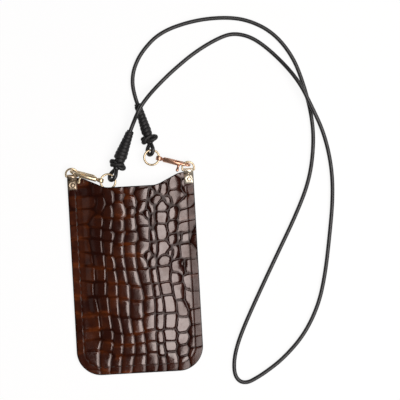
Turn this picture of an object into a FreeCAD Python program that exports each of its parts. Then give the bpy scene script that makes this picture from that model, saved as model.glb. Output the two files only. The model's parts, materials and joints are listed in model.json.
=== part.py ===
import FreeCAD, Part
import math
import os

# Phone pouch of embossed leather on a long round leather cord, lying on its back.
# Millimetres. X runs across the pouch, Y towards its mouth, Z up from the table.
# The origin is the middle of the flat back face.

Vector = FreeCAD.Vector

# Pouch panels
pouch_width = 110.0
pouch_height = 172.6
bottom_corner_radius = 21.5
scoop_depth = 9.9
scoop_shoulder_width = 12.2
scoop_slope_run = 20.3
scoop_blend_radius = 18.0
leather_thickness = 1.6
layer_gap = 0.05
bulge_height = 8.5
bulge_side_inset = 11.0
bulge_bottom_inset = 8.5
bulge_rise_length = 86.5
bulge_side_power = 2.8
bulge_bottom_power = 3.0
bulge_edge_share = 0.15
bulge_facets = 22
bulge_station_shares = (0, 0.06, 0.1, 0.16, 0.25, 0.38, 0.56, 1)

# Seam
seam_inset = 6.75
seam_top_gap = 1.5
stitch_groove_width = 1.0
stitch_groove_depth = 0.4
stitch_length = 4.0
stitch_pitch = 6.0
thread_width = 0.7
thread_height = 0.3

# Corner clasps and the two-part screws that hold them
clasp_width = 8.1
clasp_side_margin = 0.25
clasp_plate = 0.7
clasp_reach = 11.6
clasp_corner_radius = 1.2
clasp_bead_width = 1.3
clasp_bead_depth = 0.25
clasp_bead_drop = 2.0
post_drop = 7.5
post_stem_radius = 1.5
post_flange_radius = 2.65
post_flange_height = 0.45
post_ring_radius = 1.95
post_ring_depth = 0.25
post_dome_radius = 1.6
post_dome_height = 0.65
dome_shoulder_share = 0.75
screw_head_radius = 2.1
screw_shank_radius = 0.95
screw_tip_gap = 0.5

# Rings
wire_sides = 8
wire_step = 22.5
d_ring_wire = 1.7
d_ring_leg = 2.5
d_ring_bend_radius = 1.25
d_ring_side_gap = 0.25
d_ring_bar_gap = 0.3
link_ring_wire = 1.8
link_ring_radius = 6.45

# Bolt snap hooks, measured forward from the link ring's wire along the hook
hook_level = 6.5
eye_radius = 2.7
eye_width = 3.8
eye_bore_gap = 0.7
eye_edge_bevel = 0.45
eye_neck_radius = 1.3
eye_neck_end = 3.55
stud_radius = 0.95
stud_head_radius = 1.3
stud_head_length = 0.7
running_gap = 0.05
barrel_radius = 2.2
barrel_end = 19.4
barrel_base_wall = 1.4
barrel_nose_radius = 1.8
barrel_nose_length = 1.2
barrel_base_round = 0.5
spine_radius = 1.0
spine_drop = 5.5
spine_start = 6.0
spine_bend_radius = 1.8
spine_root_inset = 0.3
nose_tip = 24.0
nose_tip_length = 0.4
bolt_radius = 1.35
bolt_back = 11.3
bolt_tip_gap = 0.1
bolt_tip_round = 0.5
bolt_travel = 3.8
knob_place = 17.8
knob_spine_angle = 124.0
knob_stem_radius = 0.75
knob_stem_root = 0.25
knob_neck_radius = 1.15
knob_neck_start = 2.4
knob_neck_end = 5.2
knob_ball_radius = 1.35
spring_radius = 0.95
spring_wire = 0.36
spring_turns = 3
spring_sides = 3

# Where the two hooks lie: the right one and the left one
right_ring_centre = (19.6, 100.2)
right_ring_angle = -10.0
right_hook_heading = -17.0
right_hook_roll = 15.0
right_d_ring_tilt = 18.0
left_ring_centre = (-19.4, 81.45)
left_ring_angle = 168.0
left_hook_heading = 162.2
left_hook_roll = 24.5
left_d_ring_tilt = 25.0

# Cord, its looped ends, their knots and whippings
cord_diameter = 3.5
cord_sides = 6
loop_bend_radius = 4.0
loop_roll = 38.0
loop_apex_inset = 1.0
core_sides = 12
core_root_radius = 2.75
core_neck_length = 7.0
core_swell_place = 11.0
knot_strand = 2.6
knot_half_width = 6.95
knot_pitch = 3.2
knot_turns = 1.5
knot_start = 1.5
knot_gap = 0.1
whip_strand = 1.7
whip_sides = 3
whip_pitch = 3.0
whip_turns = 9
whip_start = 8.4
winding_gap = 0.05
winding_step = 30.0
right_core_radius = 3.2
right_loop_centre = (18.7, 106.6, 6.5)
right_knot_place = (19.1, 112.6, 6.0)
left_core_radius = 4.4
left_loop_centre = (-15.0, 86.2, 6.5)
left_knot_place = (-11.9, 91.9, 6.2)

# The cord's route over the table, from the left whipping's top to the right one's
cord_route = [
    (2.9, 125.2, 7.0), (5.5, 131.1, 7.1), (9.5, 139.0, 11.5), (13.6, 145.9, 11.6),
    (21.0, 155.0, 8.0), (31.0, 165.0, 3.2), (43.0, 175.5, 1.9), (63.2, 190.6, 1.9),
    (86.5, 202.4, 1.9), (99.7, 204.2, 1.9), (115.0, 197.7, 1.9), (134.0, 179.7, 2.4),
    (150.8, 159.1, 8.9), (160.2, 137.5, 8.9), (170.4, 113.5, 2.4), (175.5, 84.3, 1.9),
    (175.0, 55.5, 1.9), (169.4, 18.3, 1.9), (164.3, -10.6, 1.9), (157.2, -36.0, 1.9),
    (143.0, -60.3, 1.9), (123.9, -79.3, 1.9), (108.0, -90.6, 1.9), (98.5, -97.0, 1.9),
    (92.0, -99.8, 1.9), (85.6, -99.0, 1.9), (81.3, -93.4, 1.9), (80.4, -83.5, 1.9),
    (82.5, -71.0, 1.9), (88.5, -55.5, 1.9), (100.0, -32.5, 1.9), (119.8, 4.5, 1.9),
    (141.6, 44.2, 1.9), (154.9, 74.3, 1.9), (160.3, 105.1, 1.9), (160.0, 129.6, 1.9),
    (155.1, 156.7, 1.9), (147.0, 181.5, 1.9), (130.9, 202.5, 1.9), (109.4, 214.7, 1.9),
    (87.5, 219.2, 1.9), (60.6, 216.3, 1.9), (33.5, 207.9, 1.9), (17.1, 192.9, 1.9),
    (8.6, 179.5, 1.9), (6.2, 167.5, 1.9), (7.3, 156.4, 2.4), (9.5, 148.3, 3.0),
]
arc_run_share = 0.45

# One overrun serves every cut
overrun = 2.0

# Worked out from the sizes above
bottom_y = -pouch_height / 2
top_y = pouch_height / 2
half_width = pouch_width / 2
front_panel_level = leather_thickness + layer_gap
stack_height = front_panel_level + leather_thickness
clasp_height = stack_height + layer_gap + clasp_plate
clasp_x = half_width - clasp_side_margin - clasp_width / 2
bar_y = top_y + d_ring_bar_gap + d_ring_wire / 2
bar_z = clasp_height / 2
post_y = bar_y - post_drop
clasp_low_y = bar_y - clasp_reach
sheet_height = stack_height + bulge_height
cord_radius = cord_diameter / 2


def unit(vector):
    """The same direction at length one."""
    return Vector(vector).normalize()


def heading(degrees):
    """A level direction, counted from +X towards +Y."""
    angle = math.radians(degrees)
    return Vector(math.cos(angle), math.sin(angle), 0)


def rounded_polygon(corners):
    """A closed wire through (x, y, radius) corners, each rounded by a tangent arc."""
    points = [Vector(x, y, 0) for x, y, radius in corners]
    ends = []
    for index, (x, y, radius) in enumerate(corners):
        point = points[index]
        back = unit(points[index - 1] - point)
        ahead = unit(points[(index + 1) % len(points)] - point)
        half_corner = back.getAngle(ahead) / 2
        setback = radius / math.tan(half_corner)
        bisector = unit(back + ahead)
        middle = point + bisector * (radius / math.sin(half_corner) - radius)
        ends.append((point + back * setback, middle, point + ahead * setback, radius))
    edges = []
    for index, (first, middle, last, radius) in enumerate(ends):
        if radius > 0:
            edges.append(Part.Arc(first, middle, last).toShape())
        following = ends[(index + 1) % len(ends)][0]
        edges.append(Part.LineSegment(last, following).toShape())
    return Part.Wire(edges)


def prism(wire, low, high):
    """A flat outline carried up from one level to another."""
    solid = Part.Face(wire).extrude(Vector(0, 0, high - low))
    solid.translate(Vector(0, 0, low))
    return solid


def box(x_span, y_span, z_span):
    """A box between three pairs of limits."""
    corner = Vector(x_span[0], y_span[0], z_span[0])
    return Part.makeBox(x_span[1] - x_span[0], y_span[1] - y_span[0], z_span[1] - z_span[0], corner)


def revolved(profile, axis):
    """A closed (radius, height) profile turned about an axis through the origin."""
    points = [Vector(radius, 0, height) for radius, height in profile]
    face = Part.Face(Part.makePolygon(points + [points[0]]))
    solid = face.revolve(Vector(0, 0, 0), Vector(0, 0, 1), 360)
    solid.Placement = FreeCAD.Placement(Vector(0, 0, 0), FreeCAD.Rotation(Vector(0, 0, 1), axis))
    return solid


def stand(shape, origin, forward, up):
    """Moves a shape from its own frame, X forward and Z up, to its place."""
    aside = unit(up.cross(forward))
    lift = forward.cross(aside)
    matrix = FreeCAD.Matrix(
        forward.x, aside.x, lift.x, origin.x,
        forward.y, aside.y, lift.y, origin.y,
        forward.z, aside.z, lift.z, origin.z,
        0, 0, 0, 1,
    )
    placed = shape.copy()
    placed.Placement = FreeCAD.Placement(matrix).multiply(shape.Placement)
    return placed


def polygon_corners(centre, direction, normal, radius, sides):
    """Corners of a round strand's polygon section, square to its direction and lined up with a normal."""
    side = unit(direction.cross(normal))
    rise = unit(side.cross(direction))
    corners = []
    for index in range(sides):
        angle = 2 * math.pi * (index + 1 / 2) / sides
        corners.append(centre + side * (radius * math.cos(angle)) + rise * (radius * math.sin(angle)))
    return corners


def flat_face(corners):
    """A flat face with straight edges."""
    return Part.Face(Part.makePolygon(corners + corners[:1]))


def polygon_area(radius, sides):
    """The area of a regular polygon inside a circle."""
    return sides * radius * radius * math.sin(2 * math.pi / sides) / 2


def strand(stations, normal, radii, sides):
    """A strand of polygon sections at (point, direction) stations, with flat facets between them."""
    rings = [polygon_corners(*station, normal, radius, sides) for station, radius in zip(stations, radii)]
    faces = [flat_face(rings[0]), flat_face(rings[-1])]
    for ring, following in zip(rings, rings[1:]):
        for side in range(sides):
            faces.append(flat_face([ring[side - 1], ring[side], following[side]]))
            faces.append(flat_face([ring[side - 1], following[side], following[side - 1]]))
    shell = Part.makeShell(faces)
    shell.sewShape()
    solid = Part.makeSolid(shell)
    if solid.Volume < 0:
        solid.reverse()
    return solid.removeSplitter()


def bent_stations(start, way, normal, moves):
    """Stations of a wire in one plane: each move is a straight length, or a bend's radius and its turn."""
    stations = [(Vector(start), way)]
    for length, turn in moves:
        here, way = stations[-1]
        if turn == 0:
            stations.append((here + way * length, way))
            continue
        centre = here + normal.cross(way) * length
        steps = math.ceil(turn / wire_step)
        for step in range(1, steps + 1):
            swing = FreeCAD.Rotation(normal, turn * step / steps)
            stations.append((centre + swing.multVec(here - centre), swing.multVec(way)))
    return stations


def even_strand(stations, normal, radius, sides):
    """A strand of one thickness."""
    return strand(stations, normal, [radius] * len(stations), sides)


def bent_wire(start, way, normal, moves, radius):
    """A bent wire with two ends."""
    return even_strand(bent_stations(start, way, normal, moves), normal, radius, wire_sides)


def wire_halves(stations, normal, radius):
    """A bent wire as two strands that meet at its middle station."""
    middle = len(stations) // 2
    first = even_strand(stations[:middle + 1], normal, radius, wire_sides)
    return [first, even_strand(stations[middle:], normal, radius, wire_sides)]


def closed_wire(start, way, normal, moves, radius):
    """A bent wire whose last move ends where the first begins."""
    stations = bent_stations(start, way, normal, moves)
    first, second = wire_halves(stations[:-1] + stations[:1], normal, radius)
    return first.fuse(second).removeSplitter()


def arc_between(first, apex, last):
    """The arc that leaves one point towards an apex and reaches the next, with equal tangents."""
    middle = (first + last) / 2
    reach = apex - middle
    half_chord = (last - first).Length / 2
    tangent = (apex - first).Length
    if reach.Length < tangent * 1e-6:
        return Part.LineSegment(first, last).toShape()
    half_turn = math.acos(half_chord / tangent)
    bulge = unit(reach) * (half_chord * math.tan(half_turn / 2))
    return Part.Arc(first, middle + bulge, last).toShape()


def with_straight_ends(stations, length):
    """A winding's stations with a straight run added at each end."""
    first, first_way = stations[0]
    last, last_way = stations[-1]
    return [(first - first_way * length, first_way)] + stations + [(last + last_way * length, last_way)]


def least_self_gap(stations, radius, turn_length):
    """The least gap between a winding's turns, measured on its stations."""
    points = [point for point, way in stations]
    lengths = [0]
    for point, following in zip(points, points[1:]):
        lengths.append(lengths[-1] + (following - point).Length)
    least = lengths[-1]
    for index, point in enumerate(points):
        for other in range(index + 1, len(points)):
            if lengths[other] - lengths[index] > turn_length / 2:
                least = min(least, (points[other] - point).Length)
    return least - 2 * radius


def bulge_at(x, y):
    """How far the front stands off the back: full in the middle and open at the mouth."""
    across = abs(x) / (half_width - bulge_side_inset)
    below = max(0, bottom_y + bulge_bottom_inset + bulge_rise_length - y) / bulge_rise_length
    fullness = 1 - across ** bulge_side_power - below ** bulge_bottom_power
    return bulge_height * (fullness + math.hypot(fullness, bulge_edge_share)) / 2


def bulge_section(y):
    """The closed section of the front's leather at one station, in even facets across the pouch."""
    reach = half_width + overrun
    xs = [reach * (2 * column / bulge_facets - 1) for column in range(bulge_facets + 1)]
    upper = [Vector(x, y, stack_height + bulge_at(x, y)) for x in xs]
    lower = [point - Vector(0, 0, leather_thickness) for point in reversed(upper)]
    return Part.makePolygon(upper + lower + [upper[0]])


def pouch_outline():
    """The pouch's outline: round bottom corners, and a scooped mouth between two raised corners."""
    floor = top_y - scoop_depth
    mouth_x = half_width - scoop_shoulder_width
    floor_x = mouth_x - scoop_slope_run
    return rounded_polygon([
        (-half_width, bottom_y, bottom_corner_radius),
        (half_width, bottom_y, bottom_corner_radius),
        (half_width, top_y, 0),
        (mouth_x, top_y, scoop_blend_radius),
        (floor_x, floor, scoop_blend_radius),
        (-floor_x, floor, scoop_blend_radius),
        (-mouth_x, top_y, scoop_blend_radius),
        (-half_width, top_y, 0),
    ])


def bulged_sheet():
    """The bulged layer of the front, cut to the pouch's outline."""
    low = bottom_y - overrun
    rise = pouch_height + 2 * overrun
    slab = Part.makeLoft([bulge_section(low + rise * share) for share in bulge_station_shares], True, True)
    return slab.common(prism(pouch_outline(), -overrun, sheet_height + overrun))


def seam_line(inset):
    """A closed U that follows the sides and the round bottom at an inset, up to the clasps."""
    side = half_width - inset
    corner = bottom_corner_radius - inset
    high = clasp_low_y - seam_top_gap
    low = bottom_y + inset
    return rounded_polygon([(-side, low, corner), (side, low, corner), (side, high, 0), (-side, high, 0)])


def seam_groove(low, high):
    """The channel that the stitches lie in."""
    outer = prism(seam_line(seam_inset - stitch_groove_width / 2), low, high)
    inner = prism(seam_line(seam_inset + stitch_groove_width / 2), low - overrun, high + overrun)
    shelf_y = clasp_low_y - seam_top_gap
    reach = half_width - seam_inset - stitch_groove_width / 2
    shelf = (bottom_y + bottom_corner_radius, shelf_y + overrun)
    upper = box((-reach, reach), shelf, (low - overrun, high + overrun))
    return outer.cut(inner.fuse(upper))


def seam_stations():
    """Places and headings of the stitches, evenly spaced along the seam from top left to top right."""
    side = half_width - seam_inset
    corner = bottom_corner_radius - seam_inset
    high = clasp_low_y - seam_top_gap - stitch_length / 2
    turn_y = bottom_y + bottom_corner_radius
    straight = high - turn_y
    quarter = math.pi * corner / 2
    base = 2 * (half_width - bottom_corner_radius)
    total = 2 * straight + 2 * quarter + base
    count = int(total // stitch_pitch)
    stations = []
    for index in range(count + 1):
        along = total * index / count
        mirrored = along > total / 2
        along = min(along, total - along)
        if along < straight:
            place = Vector(-side, high - along, 0)
            way = 90
        elif along < straight + quarter:
            swing = (along - straight) / corner
            centre = Vector(-side + corner, turn_y, 0)
            place = centre - Vector(math.cos(swing), math.sin(swing), 0) * corner
            way = 90 + math.degrees(swing)
        else:
            place = Vector(-side + corner + along - straight - quarter, bottom_y + seam_inset, 0)
            way = 0
        if mirrored:
            place = Vector(-place.x, place.y, 0)
            way = -way
        stations.append((place, way))
    return stations


def stitches(base, crest):
    """A row of ridged stitches, each with its flat base at one level and its crest at another."""
    half_length = stitch_length / 2
    half_thread = thread_width / 2
    section = [
        Vector(-half_length, -half_thread, base),
        Vector(-half_length, half_thread, base),
        Vector(-half_length, 0, crest),
    ]
    stitch = Part.Face(Part.makePolygon(section + [section[0]])).extrude(Vector(stitch_length, 0, 0))
    row = []
    for place, way in seam_stations():
        turn = FreeCAD.Rotation(Vector(0, 0, 1), way)
        copy = stitch.copy()
        copy.Placement = FreeCAD.Placement(place, turn)
        row.append(copy)
    return Part.makeCompound(row)


def clasp_footprint(side, margin, low, high):
    """The block that a clasp's plates cover on the leather."""
    reach = clasp_width / 2 + margin
    x = side * clasp_x
    return box((x - reach, x + reach), (clasp_low_y - margin, top_y + overrun), (low, high))


def post_hole(side, radius):
    """The hole for a clasp's post, through the whole pouch."""
    return Part.makeCylinder(radius, sheet_height + 2 * overrun, Vector(side * clasp_x, post_y, -overrun))


def with_post_holes(sheet):
    """A layer with its two holes for the posts."""
    radius = post_stem_radius + layer_gap
    return sheet.cut(post_hole(1, radius).fuse(post_hole(-1, radius)))


def front_panel():
    """The bulged leather front, pressed flat under the clasps and grooved for the stitches."""
    panel = with_post_holes(bulged_sheet())
    for side in (1, -1):
        panel = panel.cut(clasp_footprint(side, layer_gap, stack_height, sheet_height))
    return panel.cut(seam_groove(stack_height - stitch_groove_depth, sheet_height))


def back_panel():
    """The flat leather back, pressed in under the clasps so that they lie flush with it."""
    panel = with_post_holes(prism(pouch_outline(), 0, leather_thickness))
    for side in (1, -1):
        panel = panel.cut(clasp_footprint(side, layer_gap, -overrun, clasp_plate + layer_gap))
    return panel.cut(seam_groove(-overrun, stitch_groove_depth))


def corner_clasp(side):
    """A plate folded over the top corner, with its fold round the D-ring's bar."""
    outer = clasp_height / 2
    inner = outer - clasp_plate
    low = clasp_low_y
    under = clasp_height - clasp_plate
    fold_out = Vector(0, bar_y + outer, bar_z)
    fold_in = Vector(0, bar_y + inner, bar_z)
    edges = [
        Part.LineSegment(Vector(0, low, 0), Vector(0, bar_y, 0)),
        Part.Arc(Vector(0, bar_y, 0), fold_out, Vector(0, bar_y, clasp_height)),
        Part.LineSegment(Vector(0, bar_y, clasp_height), Vector(0, low, clasp_height)),
        Part.LineSegment(Vector(0, low, clasp_height), Vector(0, low, under)),
        Part.LineSegment(Vector(0, low, under), Vector(0, bar_y, under)),
        Part.Arc(Vector(0, bar_y, under), fold_in, Vector(0, bar_y, clasp_plate)),
        Part.LineSegment(Vector(0, bar_y, clasp_plate), Vector(0, low, clasp_plate)),
        Part.LineSegment(Vector(0, low, clasp_plate), Vector(0, low, 0)),
    ]
    fold = Part.Face(Part.Wire([edge.toShape() for edge in edges])).extrude(Vector(clasp_width, 0, 0))
    fold.translate(Vector(side * clasp_x - clasp_width / 2, 0, 0))
    reach = clasp_width / 2
    x = side * clasp_x
    outline = rounded_polygon([
        (x - reach, low, clasp_corner_radius),
        (x + reach, low, clasp_corner_radius),
        (x + reach, bar_y + outer + overrun, 0),
        (x - reach, bar_y + outer + overrun, 0),
    ])
    clasp = fold.common(prism(outline, -overrun, clasp_height + overrun))
    bead_high = bar_y - clasp_bead_drop
    bead = box(
        (x - clasp_width, x + clasp_width),
        (bead_high - clasp_bead_width, bead_high),
        (clasp_height - clasp_bead_depth, clasp_height + overrun),
    )
    front_hole = Part.makeCylinder(post_stem_radius + layer_gap, clasp_height, Vector(x, post_y, bar_z))
    sink = Part.makeCone(
        screw_head_radius + running_gap, screw_shank_radius + running_gap, clasp_plate, Vector(x, post_y, 0)
    )
    return clasp.cut(bead).cut(front_hole).cut(sink)


def clasp_post(side):
    """The front half of a clasp's screw: a ringed, domed head on a hollow stem."""
    low = clasp_plate + layer_gap
    head = clasp_height + layer_gap
    bore = screw_shank_radius + running_gap
    roof = head - clasp_plate
    ring_floor = head + post_flange_height - post_ring_depth
    profile = [
        (0, roof),
        (bore, roof),
        (bore, low),
        (post_stem_radius, low),
        (post_stem_radius, head),
        (post_flange_radius, head),
        (post_flange_radius, head + post_flange_height),
        (post_ring_radius, head + post_flange_height),
        (post_ring_radius, ring_floor),
        (post_dome_radius, ring_floor),
        (post_dome_radius * dome_shoulder_share, ring_floor + post_dome_height * dome_shoulder_share),
        (0, ring_floor + post_dome_height),
    ]
    post = revolved(profile, Vector(0, 0, 1))
    post.translate(Vector(side * clasp_x, post_y, 0))
    return post


def clasp_screw(side):
    """The rear half: a countersunk screw, flush with the back."""
    top = clasp_height + layer_gap - clasp_plate - screw_tip_gap
    shank = screw_shank_radius
    profile = [(0, 0), (screw_head_radius, 0), (shank, clasp_plate), (shank, top), (0, top)]
    screw = revolved(profile, Vector(0, 0, 1))
    screw.translate(Vector(side * clasp_x, post_y, 0))
    return screw


def d_ring(side, tilt):
    """A welded wire D, its bar in the clasp's fold, tipped up about the bar."""
    radius = d_ring_wire / 2
    half = clasp_width / 2 + d_ring_side_gap + radius
    bend = d_ring_bend_radius
    leg = d_ring_leg - bend
    moves = [(half - bend, 0), (bend, 90), (leg, 0), (half, 180), (leg, 0), (bend, 90), (half - bend, 0)]
    ring = closed_wire(Vector(0, 0, 0), Vector(1, 0, 0), Vector(0, 0, 1), moves, radius)
    turn = FreeCAD.Rotation(Vector(1, 0, 0), tilt)
    ring.Placement = FreeCAD.Placement(Vector(side * clasp_x, bar_y, bar_z), turn)
    return ring


def link_ring(centre):
    """A closed wire ring, lying level."""
    start = Vector(centre[0] + link_ring_radius, centre[1], hook_level)
    corners = polygon_corners(start, Vector(0, 1, 0), Vector(0, 0, 1), link_ring_wire / 2, wire_sides)
    return flat_face(corners).revolve(Vector(centre[0], centre[1], hook_level), Vector(0, 0, 1), 360)


def swivel_eye():
    """The eye that rides on the link ring, with the headed stud that the hook turns on."""
    half = eye_width / 2
    rim = eye_radius - eye_edge_bevel
    shoulder = half - eye_edge_bevel
    outline = [(0, -half), (rim, -half), (eye_radius, -shoulder)]
    outline += [(eye_radius, shoulder), (rim, half), (0, half)]
    barrel = revolved(outline, Vector(0, 1, 0))
    wire = link_ring_wire / 2
    sag = link_ring_radius - math.sqrt(link_ring_radius ** 2 - (eye_width / 2) ** 2)
    bore_start = Vector(-sag / 2, -half - overrun, 0)
    bore = Part.makeCylinder(wire + eye_bore_gap, eye_width + 2 * overrun, bore_start, Vector(0, 1, 0))
    stud_end = eye_neck_end + running_gap + barrel_base_wall + running_gap
    root = wire + eye_bore_gap
    profile = [
        (0, root),
        (eye_neck_radius, root),
        (eye_neck_radius, eye_neck_end),
        (stud_radius, eye_neck_end),
        (stud_radius, stud_end),
        (stud_head_radius, stud_end),
        (stud_head_radius, stud_end + stud_head_length),
        (0, stud_end + stud_head_length),
    ]
    return barrel.fuse(revolved(profile, Vector(1, 0, 0))).cut(bore)


def knob_direction(hand):
    """Which way the thumb knob stands from the hook's length, seen from behind the hook."""
    angle = math.radians(knob_spine_angle)
    return Vector(0, hand * math.sin(angle), -math.cos(angle))


def barrel_slot(hand):
    """A slot for the knob's stem. Both sides have one, so a knob can be fitted on either."""
    half = knob_stem_radius + running_gap
    depth = barrel_radius + overrun
    back = knob_place - bolt_travel
    slot = box((back, knob_place), (-half, half), (0, depth))
    for end in (back, knob_place):
        slot = slot.fuse(Part.makeCylinder(half, depth, Vector(end, 0, 0)))
    tilt = FreeCAD.Rotation(Vector(0, 0, 1), knob_direction(hand))
    slot.Placement = FreeCAD.Placement(Vector(0, 0, 0), tilt)
    return slot


def hook_body():
    """The barrel that holds the bolt, and the spine that runs under it and turns up into the nose."""
    base = eye_neck_end + running_gap
    bore_start = base + barrel_base_wall
    nose_start = barrel_end - barrel_nose_length
    profile = [
        (stud_radius + running_gap, base),
        (barrel_radius - barrel_base_round, base),
        (barrel_radius, base + barrel_base_round),
        (barrel_radius, nose_start),
        (barrel_nose_radius, barrel_end),
        (bolt_radius + running_gap, barrel_end),
        (bolt_radius + running_gap, bore_start),
        (stud_radius + running_gap, bore_start),
    ]
    barrel = revolved(profile, Vector(1, 0, 0))
    root = -barrel_radius + spine_root_inset
    bend = spine_bend_radius
    start = Vector(spine_start, 0, root)
    moves = [
        (spine_drop + root - bend, 0),
        (bend, 90),
        (nose_tip + nose_tip_length - spine_start - bend, 0),
        (spine_drop / 2, 180),
        (nose_tip_length, 0),
    ]
    spine = bent_wire(start, Vector(0, 0, -1), Vector(0, -1, 0), moves, spine_radius)
    return barrel.fuse(spine).cut(barrel_slot(1)).cut(barrel_slot(-1)).removeSplitter()


def hook_bolt(hand):
    """The sliding bolt that closes the nose, cross-drilled for the knob."""
    tip = nose_tip - bolt_tip_gap
    profile = [
        (0, bolt_back),
        (bolt_radius, bolt_back),
        (bolt_radius, tip - bolt_tip_round),
        (bolt_radius - bolt_tip_round, tip),
        (0, tip),
    ]
    bolt = revolved(profile, Vector(1, 0, 0))
    depth = 2 * bolt_radius
    direction = knob_direction(hand)
    hole_start = Vector(knob_place, 0, 0) + direction * (knob_stem_root - running_gap)
    hole = Part.makeCylinder(knob_stem_radius + running_gap, depth, hole_start, direction)
    return bolt.cut(hole)


def thumb_knob(hand):
    """The knob that draws the bolt back: a stem through the slot, a waisted grip and a ball end."""
    waist = (knob_neck_start + knob_neck_end) / 2
    slim = (knob_neck_radius + knob_stem_radius) / 2
    ball = knob_neck_end + knob_ball_radius
    profile = [
        (0, knob_stem_root),
        (knob_stem_radius, knob_stem_root),
        (knob_stem_radius, knob_neck_start),
        (knob_neck_radius, knob_neck_start),
        (slim, waist),
        (knob_neck_radius, knob_neck_end),
        (knob_ball_radius, ball),
        (knob_ball_radius * dome_shoulder_share, ball + knob_ball_radius * dome_shoulder_share),
        (0, ball + knob_ball_radius),
    ]
    knob = revolved(profile, knob_direction(hand))
    knob.translate(Vector(knob_place, 0, 0))
    return knob


def bolt_spring():
    """The coil spring between the stud's head and the bolt."""
    seat = eye_neck_end + 2 * running_gap + barrel_base_wall + running_gap + stud_head_length
    low = seat + spring_wire
    high = bolt_back - spring_wire
    steps = math.ceil(360 * spring_turns / winding_step)
    lead = math.atan2((high - low) / spring_turns, 2 * math.pi * spring_radius)
    forward = Vector(1, 0, 0)
    stations = []
    for step in range(steps + 1):
        angle = 2 * math.pi * spring_turns * step / steps
        outward = Vector(0, math.cos(angle), math.sin(angle))
        around = Vector(0, -math.sin(angle), math.cos(angle))
        place = forward * (low + (high - low) * step / steps) + outward * spring_radius
        stations.append((place, around * math.cos(lead) + forward * math.sin(lead)))
    gap = least_self_gap(stations, spring_wire / 2, 2 * math.pi * spring_radius)
    print("bolt spring: least gap between turns", round(gap, 3))
    return even_strand(stations, forward, spring_wire / 2, spring_sides)


def cord_end(loop_centre, knot_place, whip_top, core_radius):
    """The cord's end: a loop round the link ring and a swelling core for the whipping."""
    centre = Vector(*loop_centre)
    knot = Vector(*knot_place)
    top = Vector(*whip_top)
    down = unit(centre - knot)
    level = unit(Vector(0, 0, 1).cross(down))
    lift = down.cross(level)
    roll = math.radians(loop_roll)
    across = lift * math.cos(roll) + level * math.sin(roll)
    apex = knot - down * loop_apex_inset
    depth = (centre - apex).Length
    slant = math.asin(loop_bend_radius / depth)
    strand_length = math.sqrt(depth ** 2 - loop_bend_radius ** 2)
    way = down * math.cos(slant) + across * math.sin(slant)
    moves = [(strand_length, 0), (loop_bend_radius, 180 + 2 * math.degrees(slant)), (strand_length, 0)]
    normal = across.cross(down)
    loop = wire_halves(bent_stations(apex, way, normal, moves), normal, cord_radius)
    length = (top - knot).Length
    axis = unit(top - knot)
    stations = [(knot + axis * along, axis) for along in (0, core_neck_length, core_swell_place, length)]
    radii = [core_root_radius, core_root_radius, core_radius, cord_radius]
    core = strand(stations, Vector(0, 0, 1), radii, core_sides)
    return core.fuse(loop).removeSplitter()


def winding_axes(knot_place, whip_top):
    """The root, length and three directions of a whipped end."""
    root = Vector(*knot_place)
    top = Vector(*whip_top)
    axis = unit(top - root)
    level = unit(Vector(0, 0, 1).cross(axis))
    return root, (top - root).Length, axis, level, axis.cross(level)


def core_radius_at(along, length, core_radius):
    """The core's radius and slope at a distance from its knot, past the neck."""
    if along < core_swell_place:
        slope = (core_radius - core_root_radius) / (core_swell_place - core_neck_length)
        return core_radius + slope * (along - core_swell_place), slope
    slope = (cord_radius - core_radius) / (length - core_swell_place)
    return core_radius + slope * (along - core_swell_place), slope


def whipping(knot_place, whip_top, core_radius):
    """A ridged lace wound round the core in a helix that follows its swell."""
    root, length, axis, level, lift = winding_axes(knot_place, whip_top)
    radius = whip_strand / 2
    half_base = radius * math.sin(math.pi / whip_sides)
    stations = []
    steps = math.ceil(360 * whip_turns / winding_step)
    for step in range(steps + 1):
        angle = 2 * math.pi * whip_turns * step / steps
        along = whip_start + whip_pitch * whip_turns * step / steps
        core, slope = core_radius_at(along, length, core_radius)
        seat = winding_gap + radius * math.cos(math.pi / whip_sides) + half_base * abs(slope)
        outward = level * math.cos(angle) + lift * math.sin(angle)
        around = lift * math.cos(angle) - level * math.sin(angle)
        advance = whip_pitch / (2 * math.pi)
        way = unit(around * (core + seat) + (axis + outward * slope) * advance)
        reach = (core + seat) / math.cos(math.radians(winding_step) / 2)
        stations.append((root + axis * along + outward * reach, way))
    gap = least_self_gap(stations, radius, 2 * math.pi * cord_radius)
    print("whipping: least gap between turns", round(gap, 3))
    return even_strand(with_straight_ends(stations, whip_strand), axis * -1, radius, whip_sides)


def whipping_knot(knot_place, whip_top):
    """The flat collar knot: a strand wound round the core in a wide racetrack."""
    root, length, axis, level, lift = winding_axes(knot_place, whip_top)
    radius = knot_strand / 2
    bend = core_root_radius + knot_gap + radius
    straight = 2 * (knot_half_width - bend)
    lap = 2 * straight + 2 * math.pi * bend
    rise = knot_pitch / lap
    tilt = math.atan(rise)
    steps = math.ceil(180 / winding_step)
    stations = []
    travelled = 0
    for half_lap in range(int(2 * knot_turns)):
        hand = 1 if half_lap % 2 == 0 else -1
        centre = level * (hand * straight / 2)
        for step in range(steps + 1):
            angle = math.pi * step / steps
            outward = (level * math.sin(angle) - lift * math.cos(angle)) * hand
            around = (level * math.cos(angle) + lift * math.sin(angle)) * hand
            along = knot_start + rise * (travelled + bend * angle)
            place = root + axis * along + centre + outward * bend
            stations.append((place, around * math.cos(tilt) + axis * math.sin(tilt)))
        travelled += math.pi * bend + straight
    gap = least_self_gap(stations, radius, lap)
    print("knot: least gap between turns", round(gap, 3))
    return even_strand(with_straight_ends(stations, knot_strand), axis, radius, cord_sides)


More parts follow.
